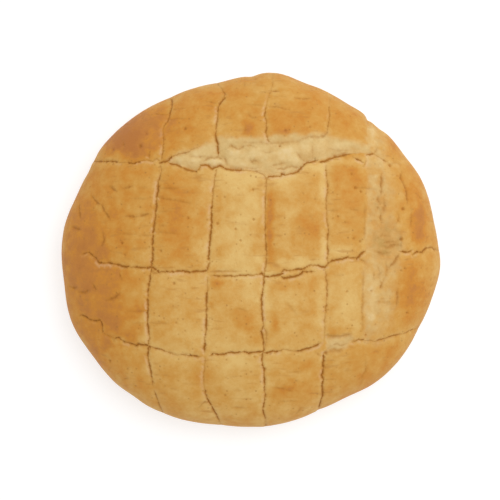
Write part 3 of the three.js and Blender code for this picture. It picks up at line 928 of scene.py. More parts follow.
@dataclass(frozen=True)
class Stations:
    """Points along cracks and how the crust is cut there, one row a station.

    Attributes:
        points: Where the stations lie.
        ways: Which way the crack runs.
        half_width: Half width of the crack.
        depth: Depth of the crack.
        opening: How open the crack is.
        stain: How much of the cracks' darker colour, which is painted shade, it takes.
    """

    points: Array
    ways: Array
    half_width: Array
    depth: Array
    opening: Array
    stain: Array

    @classmethod
    def joined(cls, parts: list[Self]) -> Self:
        """Joins the stations of several runs, in order."""
        columns = ([getattr(part, column.name) for part in parts] for column in fields(cls))
        return cls(*(np.concatenate(column) for column in columns))

    def picked(self, rows: Array) -> Self:
        """Picks stations by their numbers."""
        return type(self)(*(getattr(self, column.name)[rows] for column in fields(self)))


@dataclass
class CrackNet:
    """Cracks laid on the loaf as closely spaced stations.

    Attributes:
        form: The loaf that the cracks run over.
        view: The view that lays their traces on it.
        step: Distance between stations.
        fewest: Fewest stations of a run.
        edge_share: Share of the radius beyond which a crack runs on over the edge.
        edge_lifts: Angles up from the waist at which it goes on down the flank, in radians.
        meeting: Distance in pixels within which the ends of two runs meet.
        lane: Distance between the tracks on which two runs read their noise.
        stray: How a crack strays sideways along its track.
        gaping: How a crack opens and closes along its track.
        gape_range: Least and most that it opens by that.
        end_share: How open the very end of a run is.
        low_share: Share of its opening that a crack gains low on the flank.
        low_rise, high_rise: Heights between which it gains that share and the rest, in waist heights.
        deepest: Opening past which a crack gets no deeper.
        least_stain: Share of the painted shade that the faintest crack keeps.
        stations, tree: The stations of all runs, and the look-up of the nearest one.
    """

    form: LoafForm
    view: PhotoView
    step: float = 0.4
    fewest: int = 3
    edge_share: float = 0.965
    edge_lifts: tuple[float, ...] = (0.1, -0.1, -0.28, -0.46)
    meeting: float = 1.5
    lane: float = 7.3
    stray: Grains = (Grain(3.4, 0), Grain(1.4, 1, 0.75))
    gaping: Grains = (Grain(5.5, 2, 0.75), Grain(1.8, 3, 0.6), Grain(0.9, 4, 0.55))
    gape_range: Span = (0.2, 1.7)
    end_share: float = 0.4
    low_share: float = 0.3
    low_rise: Span = (0.4, 0.9)
    high_rise: Span = (1.0, 1.5)
    deepest: float = 1.2
    least_stain: float = 0.25
    stations: Stations = field(init=False)
    tree: KDTree = field(init=False)

    def lay(self, kinds: dict[CrackKind, tuple[Run, ...]]) -> None:
        """Lays runs on the loaf and readies their stations for looking up.

        Args:
            kinds: The runs of each kind of crack.
        """
        parts = []
        for kind, runs in kinds.items():
            ends = np.array([end for run in runs for end in run.ends])
            for number, run in enumerate(runs):
                gaps = [np.linalg.norm(ends - np.array(end), axis=1) for end in run.ends]
                joined = [np.sum(gap < self.meeting) > 1 for gap in gaps]
                parts.append(self.cut(run, kind.value, number, joined))
        self.stations = Stations.joined(parts)
        self.tree = KDTree(len(self.stations.points))
        for index, point in enumerate(self.stations.points):
            self.tree.insert(point, index)
        self.tree.balance()

    def over_edge(self, points: Array) -> Array:
        """Lengthens a line that reaches the edge, so that it runs on down the flank.

        Args:
            points: The line's points; only its last end is looked at.

        Returns:
            The line, with the points on the flank added.
        """
        around, share = self.form.polar(points[-1:])
        if share[0] < self.edge_share:
            return points
        lifts = np.array(self.edge_lifts)
        flank = self.form.surface(np.full(len(lifts), around[0]), lifts)
        return np.concatenate((points, flank))

    def cut(self, run: Run, rule: CrackRule, number: int, joined: list[bool]) -> Stations:
        """Sets the stations of one run.

        Args:
            run: The run.
            rule: How cracks of its kind are cut.
            number: Number of the run, which picks its draws.
            joined: Whether its start and its end meet another run, and so don't taper.

        Returns:
            Its stations, from its start on.
        """
        line = self.over_edge(self.over_edge(self.view.lay(run.trace))[::-1])[::-1]
        lengths = np.concatenate(((0.0,), np.cumsum(np.linalg.norm(np.diff(line, axis=0), axis=1))))
        gone = np.linspace(0.0, lengths[-1], max(self.fewest, int(lengths[-1] / self.step)))
        points = np.stack([np.interp(gone, lengths, column) for column in line.T], axis=1)
        ways = np.gradient(points, axis=0)
        ways /= np.linalg.norm(ways, axis=1)[:, None]
        flat = np.zeros(len(gone))
        sideways = np.stack((-ways[:, 1], ways[:, 0], flat), axis=1)
        track = np.stack((gone, flat + self.lane * number, flat), axis=1)
        stray = rule.wobble * layered(self.stray, track, rule.seed)
        gape = np.clip(1.0 + layered(self.gaping, track, rule.seed), *self.gape_range)
        to_end = np.minimum(gone + rule.taper * joined[0], gone[-1] - gone + rule.taper * joined[1])
        taper = self.end_share + (1.0 - self.end_share) * ease(to_end, 0.0, rule.taper)
        opening = run.strength * gape * taper * self.rise(points[:, 2] / self.form.waist)
        stain = self.least_stain + (1.0 - self.least_stain) * opening
        return Stations(
            points=points + stray[:, None] * sideways,
            ways=ways,
            half_width=rule.narrow + rule.wide * opening,
            depth=rule.depth * np.minimum(opening, self.deepest),
            opening=opening,
            stain=rule.stain * np.clip(stain, 0.0, 1.0),
        )

    def rise(self, level: Array) -> Array:
        """Gives the share of its opening that a crack has at a level, in waist heights."""
        high_share = 1.0 - self.low_share
        return self.low_share * ease(level, *self.low_rise) + high_share * ease(level, *self.high_rise)

    def nearest(self, points: Array) -> tuple[Stations, Array]:
        """Looks up the station nearest to each point.

        Args:
            points: Points in space, one a row.

        Returns:
            The stations, one a point, and the distances from the crack's line through them.
        """
        near = self.stations.picked(np.array([self.tree.find(point)[1] for point in points]))
        offset = points - near.points
        along = np.clip(np.einsum("ij,ij->i", offset, near.ways), -self.step, self.step)
        return near, np.linalg.norm(offset - along[:, None] * near.ways, axis=1)


@dataclass(frozen=True)
class Mottle:
    """Noise in a finish: its scale in lumps a metre, its levels of detail and how rough they are."""

    scale: float
    detail: float
    rough: float


class NodeSheet:
    """The nodes of one material, with short ways to add the kinds that the finishes use."""

    def __init__(self, name: str) -> None:
        """Starts a material with its own shader.

        Args:
            name: Name of the material.
        """
        self.material = bpy.data.materials.new(name)
        self.material.use_nodes = True
        self.tree = self.material.node_tree
        self.shader = self.tree.nodes["Principled BSDF"]

    def fill(self, node: bpy.types.Node, inputs: Feeds) -> None:
        """Feeds inputs of a node.

        Args:
            node: The node.
            inputs: By name or number of an input, the socket that feeds it or what it is set to.
        """
        for name, value in inputs.items():
            socket = node.inputs[name]
            if isinstance(value, Socket):
                self.tree.links.new(value, socket)
            elif socket.type == "RGBA":
                socket.default_value = (*value, 1.0)
            else:
                socket.default_value = value

    def add(self, kind: str, inputs: Feeds, **settings: str) -> bpy.types.Node:
        """Adds a node.

        Args:
            kind: Kind of the node.
            inputs: What its inputs are fed.
            **settings: Its other settings.

        Returns:
            The node.
        """
        node = self.tree.nodes.new(kind)
        for name, value in settings.items():
            setattr(node, name, value)
        self.fill(node, inputs)
        return node

    def layer(self, layer: Layer) -> Socket:
        """Reads a layer of the mesh."""
        return self.add("ShaderNodeAttribute", {}, attribute_name=layer.value).outputs["Fac"]

    def noise(self, place: Socket, mottle: Mottle) -> Socket:
        """Adds noise from 0 to 1."""
        settings = {"Scale": mottle.scale, "Detail": mottle.detail, "Roughness": mottle.rough}
        return self.add("ShaderNodeTexNoise", {"Vector": place, **settings}).outputs["Fac"]

    def math(self, operation: str, *values: Socket | float) -> Socket:
        """Adds a sum of one kind over its values."""
        return self.add("ShaderNodeMath", dict(enumerate(values)), operation=operation).outputs["Value"]

    def rise(self, value: Socket, low: float, high: float) -> Socket:
        """Turns a value into 0 at low and 1 at high, held at both ends; low may be the larger one."""
        ends = {"From Min": low, "From Max": high}
        return self.add("ShaderNodeMapRange", {"Value": value, **ends}).outputs["Result"]

    def mix(self, share: Socket, under: Socket, over: Socket | Colour) -> Socket:
        """Lays one colour over another by a share."""
        inputs = {"Factor": share, MIX_UNDER: under, MIX_OVER: over}
        return self.add("ShaderNodeMix", inputs, data_type="RGBA").outputs[MIX_RESULT]

    def ramp(self, value: Socket, stops: Stops) -> Socket:
        """Adds a colour ramp.

        Args:
            value: Socket that picks the place on the ramp.
            stops: Places and colours, in order.

        Returns:
            A socket with the colour.
        """
        node = self.add("ShaderNodeValToRGB", {"Fac": value})
        elements = node.color_ramp.elements
        while len(elements) < len(stops):
            elements.new(stops[-1][0])
        for element, (place, colour) in zip(elements, stops):
            element.position = place
            element.color = (*colour, 1.0)
        return node.outputs["Color"]


@dataclass(frozen=True)
class Blend:
    """How a layer and two noises make up the tone that a colour ramp reads.

    Attributes:
        mottle: How much of the mottling is added to the layer.
        speckle: How much of the speckle is added.
        less: What is then taken off.
        gain: What the rest is multiplied by.
    """

    mottle: float
    speckle: float
    less: float
    gain: float = 1.0


@dataclass(frozen=True)
class CrustFinish:
    """Finish of the crust: browned skin, paler torn dough and dark cracks, from the mesh's layers.
    The cracks' darker colour is painted shade, and the lit slash lips carry a painted highlight.

    Attributes:
        skin_stops: Colours of the skin, from the palest to the most browned.
        skin_blend: What picks among them.
        torn_stops: Colours of the torn dough, from raised to sunk; floors pick paler ones where they
            stand up and darker ones where they sink, as painted light and shade.
        torn_blend: What picks among them.
        blush, crack, speck, crease: Colours of the painted highlight on the lit side of slash lips,
        and of cracks, specks and short wrinkles, whose darker colours are painted shade.
        blush_share, speck_share, dash_share: How much of its colour each of these takes.
        mottle, speckle, grit: Noises in the tone and the relief, from coarse to fine.
        speck_cells: Places for specks a metre.
        speck_picked: Draws between which a place comes to have its speck.
        speck_edge: Distances at which a speck fades out and at which it is full, in parts of a cell.
        dash_folds: Noise whose crests are the short wrinkles.
        dash_scales: Scale of space for it, which draws the wrinkles out across the loaf.
        dash_crest: Values of that noise between which a wrinkle shows.
        dash_zones, dash_where: Noise that picks where they lie, and the values between which they show.
        speckle_height, dash_depth, speck_depth: Shares of these in the relief, against the grit.
        bump_strength, bump_depth: How strongly the relief shows, and its depth.
        roughness, gloss: Roughness of the surface and strength of its shine.
    """

    skin_stops: Stops = (
        (0.0, linear(227, 187, 112)), (0.21, linear(219, 171, 92)), (0.39, linear(212, 155, 70)),
        (0.585, linear(207, 138, 48)), (0.72, linear(197, 129, 54)), (0.92, linear(187, 118, 52)),
    )
    skin_blend: Blend = Blend(mottle=0.9, speckle=0.3, less=0.6, gain=0.75)
    torn_stops: Stops = (
        (0.1, linear(235, 209, 162)), (0.4, linear(227, 195, 133)),
        (0.68, linear(213, 177, 112)), (0.95, linear(197, 156, 84)),
    )
    torn_blend: Blend = Blend(mottle=0.5, speckle=0.3, less=0.4)
    # Painted highlight, laid on the side of slash lips that faces the key light
    blush: Colour = linear(231, 190, 143)
    # Darker colour of cracks and pores: painted shade
    crack: Colour = linear(174, 113, 34)
    # Painted shade in small pits and short wrinkles
    speck: Colour = linear(172, 114, 44)
    crease: Colour = linear(186, 126, 54)
    blush_share: float = 0.6
    speck_share: float = 0.6
    dash_share: float = 0.45
    mottle: Mottle = Mottle(150.0, 5.0, 0.62)
    speckle: Mottle = Mottle(620.0, 3.0, 0.6)
    grit: Mottle = Mottle(1900.0, 2.0, 0.6)
    speck_cells: float = 340.0
    speck_picked: Span = (0.65, 0.95)
    speck_edge: Span = (0.28, 0.1)
    dash_folds: Mottle = Mottle(420.0, 1.0, 0.4)
    dash_scales: Scales = (0.25, 1.0, 0.7)
    dash_crest: Span = (0.6, 0.74)
    dash_zones: Mottle = Mottle(42.0, 1.0, 0.5)
    dash_where: Span = (0.42, 0.6)
    speckle_height: float = 0.8
    dash_depth: float = 0.5
    speck_depth: float = 0.8
    bump_strength: float = 0.4
    bump_depth: float = 0.5
    roughness: float = 0.62
    gloss: float = 0.28

    def make(self) -> bpy.types.Material:
        """Makes the material.

        Returns:
            The crust material.
        """
        sheet = NodeSheet("crust")
        place = sheet.add("ShaderNodeTexCoord", {}).outputs["Object"]
        cleft, crumb, lip, toast = (sheet.layer(layer) for layer in Layer)
        noises = (self.mottle, self.speckle, self.grit)
        mottle, speckle, grit = (sheet.noise(place, kind) for kind in noises)
        specks, dashes = self.specks(sheet, place), self.dashes(sheet, place)
        ramps = []
        for blend, stops in ((self.skin_blend, self.skin_stops), (self.torn_blend, self.torn_stops)):
            tone = sheet.math("MULTIPLY_ADD", mottle, blend.mottle, toast)
            tone = sheet.math("MULTIPLY_ADD", speckle, blend.speckle, tone)
            tone = sheet.math("MULTIPLY", sheet.math("SUBTRACT", tone, blend.less), blend.gain)
            ramps.append(sheet.ramp(tone, stops))
        skin, torn = ramps
        overlays = (
            # Specks and short wrinkles are darker as painted shade in them
            (specks, self.speck_share, self.speck),
            (dashes, self.dash_share, self.crease),
            (crumb, 1.0, torn),
            # Painted highlight on the slash lips, on the side that faces the key light
            (lip, self.blush_share, self.blush),
            # Painted shade: the darker crack colour in cracks and pores
            (cleft, 1.0, self.crack),
        )
        for where, share, over in overlays:
            skin = sheet.mix(sheet.math("MULTIPLY", where, share), skin, over)
        height = grit
        raised = ((speckle, self.speckle_height), (dashes, -self.dash_depth), (specks, -self.speck_depth))
        for where, amount in raised:
            height = sheet.math("MULTIPLY_ADD", where, amount, height)
        depth = {"Strength": self.bump_strength, "Distance": self.bump_depth * MM}
        bump = sheet.add("ShaderNodeBump", {"Height": height, **depth})
        sheet.fill(sheet.shader, {
            "Base Color": skin,
            "Normal": bump.outputs["Normal"],
            "Roughness": self.roughness,
            "Specular IOR Level": self.gloss,
        })
        return sheet.material

    def specks(self, sheet: NodeSheet, place: Socket) -> Socket:
        """Adds small dark specks, sunk as pits and strewn unevenly; their darker colour is painted shade.

        Args:
            sheet: The node sheet of the crust.
            place: Object coordinates.

        Returns:
            A socket with the specks, from 0 to 1.
        """
        cells = sheet.add("ShaderNodeTexVoronoi", {"Vector": place, "Scale": self.speck_cells})
        draw = sheet.add("ShaderNodeSeparateColor", {"Color": cells.outputs["Color"]})
        picked = sheet.rise(draw.outputs["Red"], *self.speck_picked)
        return sheet.math("MULTIPLY", sheet.rise(cells.outputs["Distance"], *self.speck_edge), picked)

    def dashes(self, sheet: NodeSheet, place: Socket) -> Socket:
        """Adds short faint wrinkles that run across the loaf; their darker colour is painted shade.

        Args:
            sheet: The node sheet of the crust.
            place: Object coordinates.

        Returns:
            A socket with the wrinkles, from 0 to 1.
        """
        drawn_out = sheet.add("ShaderNodeMapping", {"Vector": place, "Scale": self.dash_scales})
        folds = sheet.noise(drawn_out.outputs["Vector"], self.dash_folds)
        where = sheet.rise(sheet.noise(place, self.dash_zones), *self.dash_where)
        return sheet.math("MULTIPLY", sheet.rise(folds, *self.dash_crest), where)


@dataclass(frozen=True)
class FloorFinish:
    """Finish of the plain pale floor, which glows so that the loaf's shadow on it stays faint."""

    colour: Colour = (0.46, 0.46, 0.46)
    glow: float = 0.66
    roughness: float = 0.9
    gloss: float = 0.1

    def make(self) -> bpy.types.Material:
        """Makes the material.

        Returns:
            The floor material.
        """
        sheet = NodeSheet("pale_floor")
        sheet.fill(sheet.shader, {
            "Base Color": self.colour,
            "Roughness": self.roughness,
            "Specular IOR Level": self.gloss,
            "Emission Color": WHITE,
            "Emission Strength": self.glow,
        })
        return sheet.material


@dataclass(frozen=True)
class Survey:
    """What is known of each point of the bare mesh before it is sculpted.

    Attributes:
        points: The points, one a row.
        places: Where the picture shows them, in pixels.
        level: Their heights, in waist heights.
        below_waist: How far below the waist they lie.
        above_base: How far above the underside's edge they lie, from 0 to 1.
        from_slash: Distance from the nearest slash.
        from_crack: Distance from the nearest crack of any kind.
        crack: How that crack is cut there.
        lit: Whether they lie on the side of it that faces the light.
    """

    points: Array
    places: Array
    level: Array
    below_waist: Array
    above_base: Array
    from_slash: Array
    from_crack: Array
    crack: Stations
    lit: Array


@dataclass(frozen=True)
class Swelling:
    """Broad unevenness of the crust: cells that swell between sunk slashes, and an uneven flank.

    Attributes:
        crown: Swelling all over.
        flank: What is added to it on the flank.
        crown_skin: Fine unevenness all over.
        flank_skin: What is added to it on the flank.
        flank_fade: Depth below the waist by which the flank's share is full.
        valley_depth: How deep the crust sinks along a slash.
        valley_reach: How far to either side it sinks.
        waist_reach: How far above and below the waist the outline is held.
        valley_hold: Share of the sinking that is taken back there.
        swell_hold: Share of the swelling that is taken back there.
    """

    crown: Grains = (Grain(46.0, 3, 0.9), Grain(14.0, 4, 0.3))
    flank: Grains = (Grain(46.0, 3, 0.6), Grain(14.0, 4, 0.5))
    crown_skin: Grain = Grain(4.0, 5, 0.09, (0.5, 1.0, 1.0))
    flank_skin: Grain = Grain(5.0, 6, 0.3, (0.7, 0.7, 1.6))
    flank_fade: float = 8.0
    valley_depth: float = 0.8
    valley_reach: float = 6.0
    waist_reach: float = 9.0
    valley_hold: float = 0.6
    swell_hold: float = 0.85

    def depths(self, known: Survey) -> Array:
        """Works out how deep the crust is pressed in.

        Args:
            known: What was measured on the bare mesh.

        Returns:
            One depth a point, negative where it swells.
        """
        flank = ease(known.below_waist, 0.0, self.flank_fade)
        at_waist = bell(known.below_waist, self.waist_reach)
        swell = layered(self.crown, known.points) + flank * layered(self.flank, known.points)
        skin = self.crown_skin.at(known.points) + flank * self.flank_skin.at(known.points)
        valley = self.valley_depth * bell(known.from_slash, self.valley_reach)
        held_valley = valley * (1.0 - self.valley_hold * at_waist)
        return held_valley - swell * (1.0 - self.swell_hold * at_waist) - skin


@dataclass(frozen=True)
class Floors:
    """Floors of the tears: their depth, how torn the crust is, from 0 to 1, and their tone, pale at 0."""

    depth: Array
    crumb: Array
    tone: Array


@dataclass(frozen=True)
class TearRelief:
    """Relief and tone of the torn floors.

    Attributes:
        ragged: How ragged the edges of the colour are.
        ragged_least: How far the sharpest edge strays, in pixels.
        ragged_share: What is added to it, as a share of the width over which an edge fades.
        gaps: Noise that picks the patches where a floor is less torn.
        gap_span: Values of it between which such a patch begins.
        slope: How much steeper a floor falls near its lip; 1 is an even slope.
        wall: Distances inside the outline between which a floor sinks, in pixels.
        mound_crisp: How crisp the edges of the mounds are.
        lumps: Small lumps on the floors.
        tone: Tone of a level floor.
        tone_fall: How much paler a floor gets for each millimetre that it stands up, and darker where it
        sinks: painted light and shade.
        crumb_levels: Heights between which the torn colour starts, in waist heights.
    """

    ragged: Grains = (Grain(8.0, 21), Grain(3.0, 22, 0.7))
    ragged_least: float = 0.8
    ragged_share: float = 0.3
    gaps: Grains = (Grain(6.0, 23), Grain(2.6, 24, 0.6))
    gap_span: Span = (-0.35, 0.4)
    slope: float = 1.3
    wall: Span = (-1.0, 2.0)
    mound_crisp: float = 1.5
    lumps: Grains = (Grain(4.6, 31, 0.4, (0.5, 1.0, 1.0)), Grain(2.0, 32, 0.2))
    tone: float = 0.64
    tone_fall: float = 0.4
    crumb_levels: Span = (1.3, 1.65)

    def floors(self, known: Survey) -> Floors:
        """Works out the floors of the tears.

        Args:
            known: What was measured on the bare mesh.

        Returns:
            The floors, with one value of each kind a point.
        """
        ragged = layered(self.ragged, known.points)
        gaps = ease(layered(self.gaps, known.points), *self.gap_span)
        depth, torn, crumb = (np.zeros(len(known.points)) for _ in range(3))
        for tear in TEARS:
            from_lip, from_far = (line_distance(trace, known.places) for trace in (tear.lip, tear.far))
            side = np.where(is_inside(tear.outline, known.places), 1.0, -1.0)
            from_edge = side * np.minimum(from_lip, from_far)
            across = from_lip / (from_lip + from_far + TINY)
            floor = tear.edge + (tear.sink - tear.edge) * (1.0 - across) ** self.slope
            sunk = ease(from_edge, *self.wall)
            torn = np.maximum(torn, sunk)
            depth = np.maximum(depth, floor * sunk)
            fade = np.where(from_lip < from_far, tear.lip_fade, tear.far_fade)
            stray = (self.ragged_least + self.ragged_share * fade) * ragged
            bare = ease(from_edge + stray, -fade / 2, fade / 2)
            crumb = np.maximum(crumb, tear.pale * bare * (1.0 - tear.patchy * gaps))
        raised = layered(self.lumps, known.points)
        for mound in MOUNDS:
            raised += mound.height * mound.share(known.places, self.mound_crisp)
        return Floors(
            depth=depth - torn * raised,
            crumb=crumb * ease(known.level, *self.crumb_levels),
            # Painted light and shade: the tone is paler where a floor stands up and darker where it sinks
            tone=self.tone - self.tone_fall * raised,
        )


@dataclass(frozen=True)
class CrackRelief:
    """Relief of the cracks, a soft shoulder, a narrow core and a low raised lip, and their painted shade.

    Attributes:
        shoulder_share: Depth of the shoulder, as a share of the crack's.
        shoulder_reach: How far the shoulder reaches to either side.
        lip_place: Distance of the lip from the crack.
        lip_reach: How far the lip reaches to either side.
        lit_lip: Height of the lip towards the light, as a share of the crack's depth.
        far_lip: The same for the lip on the other side.
        stain_edge: Distances between which the painted shade fades, in half widths of the crack.
        halo_share: How strong the painted shade beside the crack is.
        halo_reach: How far that painted shade reaches.
    """

    shoulder_share: float = 0.5
    shoulder_reach: float = 1.3
    lip_place: float = 2.2
    lip_reach: float = 1.1
    lit_lip: float = 0.3
    far_lip: float = 0.14
    stain_edge: Span = (0.45, 1.25)
    halo_share: float = 0.45
    halo_reach: float = 0.6

    def depths(self, known: Survey) -> Array:
        """Works out how deep the cracks are cut.

        Args:
            known: What was measured on the bare mesh.

        Returns:
            One depth a point, negative on the lips.
        """
        shoulder = self.shoulder_share * bell(known.from_crack, self.shoulder_reach)
        core = np.clip(1.0 - known.from_crack / known.crack.half_width, 0.0, 1.0)
        lip = np.where(known.lit, self.lit_lip, self.far_lip)
        lip *= bell(known.from_crack - self.lip_place, self.lip_reach)
        return known.crack.depth * (shoulder + core - lip)

    def stains(self, known: Survey) -> Array:
        """Works out how much of the cracks' darker colour, painted shade, the crust takes.

        Args:
            known: What was measured on the bare mesh.

        Returns:
            One share a point.
        """
        core = 1.0 - ease(known.from_crack / known.crack.half_width, *self.stain_edge)
        beside = np.clip(known.from_crack - known.crack.half_width, 0.0, None)
        return known.crack.stain * np.maximum(core, self.halo_share * bell(beside, self.halo_reach))


@dataclass(frozen=True)
class PoreRelief:
    """Relief of the pores, and their darker colour, which is painted shade.

    Attributes:
        depth: Depth of a full pore.
        stain: How much of the cracks' darker colour, painted shade, a full pore takes.
        radii: Radii between which a pore grows full, in pixels.
        least: How deep the smallest pores are, as a share of a full one.
        crisp: Power that makes the edge of a pore crisp.
    """

    depth: float = 0.9
    stain: float = 0.75
    radii: Span = (0.909, 1.545)
    least: float = 0.3
    crisp: float = 4.0

    def pits(self, known: Survey) -> Array:
        """Works out how deep points lie in a pore.

        Args:
            known: What was measured on the bare mesh.

        Returns:
            One share a point, 1 in the middle of a full pore.
        """
        pits = np.zeros(len(known.points))
        for pore in PORES:
            full = np.interp(pore.radius, self.radii, (self.least, 1.0))
            off = pore.distance(known.places) / pore.radius
            pits = np.maximum(pits, full * np.exp(-off ** self.crisp))
        return pits


@dataclass(frozen=True)
class LitLipHighlights:
    """Painted highlight on the lips of the slashes: a paler colour on the side that faces the light.

    Attributes:
        place: Distance of the lip's middle from the slash.
        reach: How far it reaches to either side.
        least: How strong the painted highlight is on a closed slash.
        levels: Heights between which the painted highlight starts, in waist heights.
        patches: Noise by which they come and go.
        patch_span: Values of it between which the painted highlight starts.
    """

    place: float = 1.2
    reach: float = 0.75
    least: float = 0.4
    levels: Span = (1.75, 2.3)
    patches: Grains = (Grain(9.0, 51), Grain(2.2, 52, 0.8))
    patch_span: Span = (-0.25, 0.45)

    def shares(self, known: Survey) -> Array:
        """Works out how much of the painted highlight's paler colour the crust takes.

        Args:
            known: What was measured on the bare mesh.

        Returns:
            One share a point.
        """
        rim = bell(known.from_slash - self.place, self.reach)
        rim *= np.clip(self.least + known.crack.opening, 0.0, 1.0)
        patches = ease(layered(self.patches, known.points), *self.patch_span)
        return rim * ease(known.level, *self.levels) * patches * known.lit


@dataclass(frozen=True)
class Browning:
    """How browned the crust is; one broad pale patch among the patches is painted light.

    Attributes:
        middle: Browning of plain crust.
        most: Most that any crust is browned.
        mottling: Uneven browning all over.
        slash_pale: How much paler the crust is along a slash.
        slash_reach: How far from a slash it is paler.
        underside: How much browner the underside is.
        stray: How the edges of patches stray across and down, for a patch of unit reach.
        flank_share: How strong the patches are low on the flank.
        flank_levels: Heights between which they come to full strength, in waist heights.
    """

    middle: float = 0.5
    most: float = 1.4
    mottling: Grains = (Grain(24.0, 41, 0.16), Grain(9.0, 42, 0.11))
    slash_pale: float = 0.14
    slash_reach: float = 2.8
    underside: float = 0.25
    stray: tuple[Grains, Grains] = (
        (Grain(11.0, 43, 0.5), Grain(3.5, 45, 0.4)),
        (Grain(11.0, 44, 0.5), Grain(3.5, 46, 0.4)),
    )
    flank_share: float = 0.35
    flank_levels: Span = (0.5, 1.2)

    def tones(self, known: Survey) -> Array:
        """Works out the browning.

        Args:
            known: What was measured on the bare mesh.

        Returns:
            One tone a point, from about 0 to 1.
        """
        toast = self.middle + layered(self.mottling, known.points)
        toast -= self.slash_pale * bell(known.from_slash, self.slash_reach)
        toast += self.underside * (1.0 - known.above_base)
        stray = np.stack([layered(grains, known.points) for grains in self.stray], axis=1)
        seen = self.flank_share + (1.0 - self.flank_share) * ease(known.level, *self.flank_levels)
        for patches in PATCHES.values():
            for patch in patches:
                strayed = known.places + min(patch.reach) * stray
                toast += seen * patch.amount * patch.share(strayed, patch.crisp)
        return toast


@dataclass(frozen=True)
class Split:
    """One pass in which faces are split, so that the relief there comes out crisp.

    Attributes:
        crack_reach: How far from a crack faces are split.
        slashes_only: Whether only slashes count as cracks.
        pore_reach: How far from the middle of a pore they are split, in pixels.
        flank_level: Height up to which the flank is split, in waist heights.
        in_tears: Whether the floors of the tears are split.
    """

    crack_reach: float
    slashes_only: bool = False
    pore_reach: float = 0.0
    flank_level: float = 0.0
    in_tears: bool = False


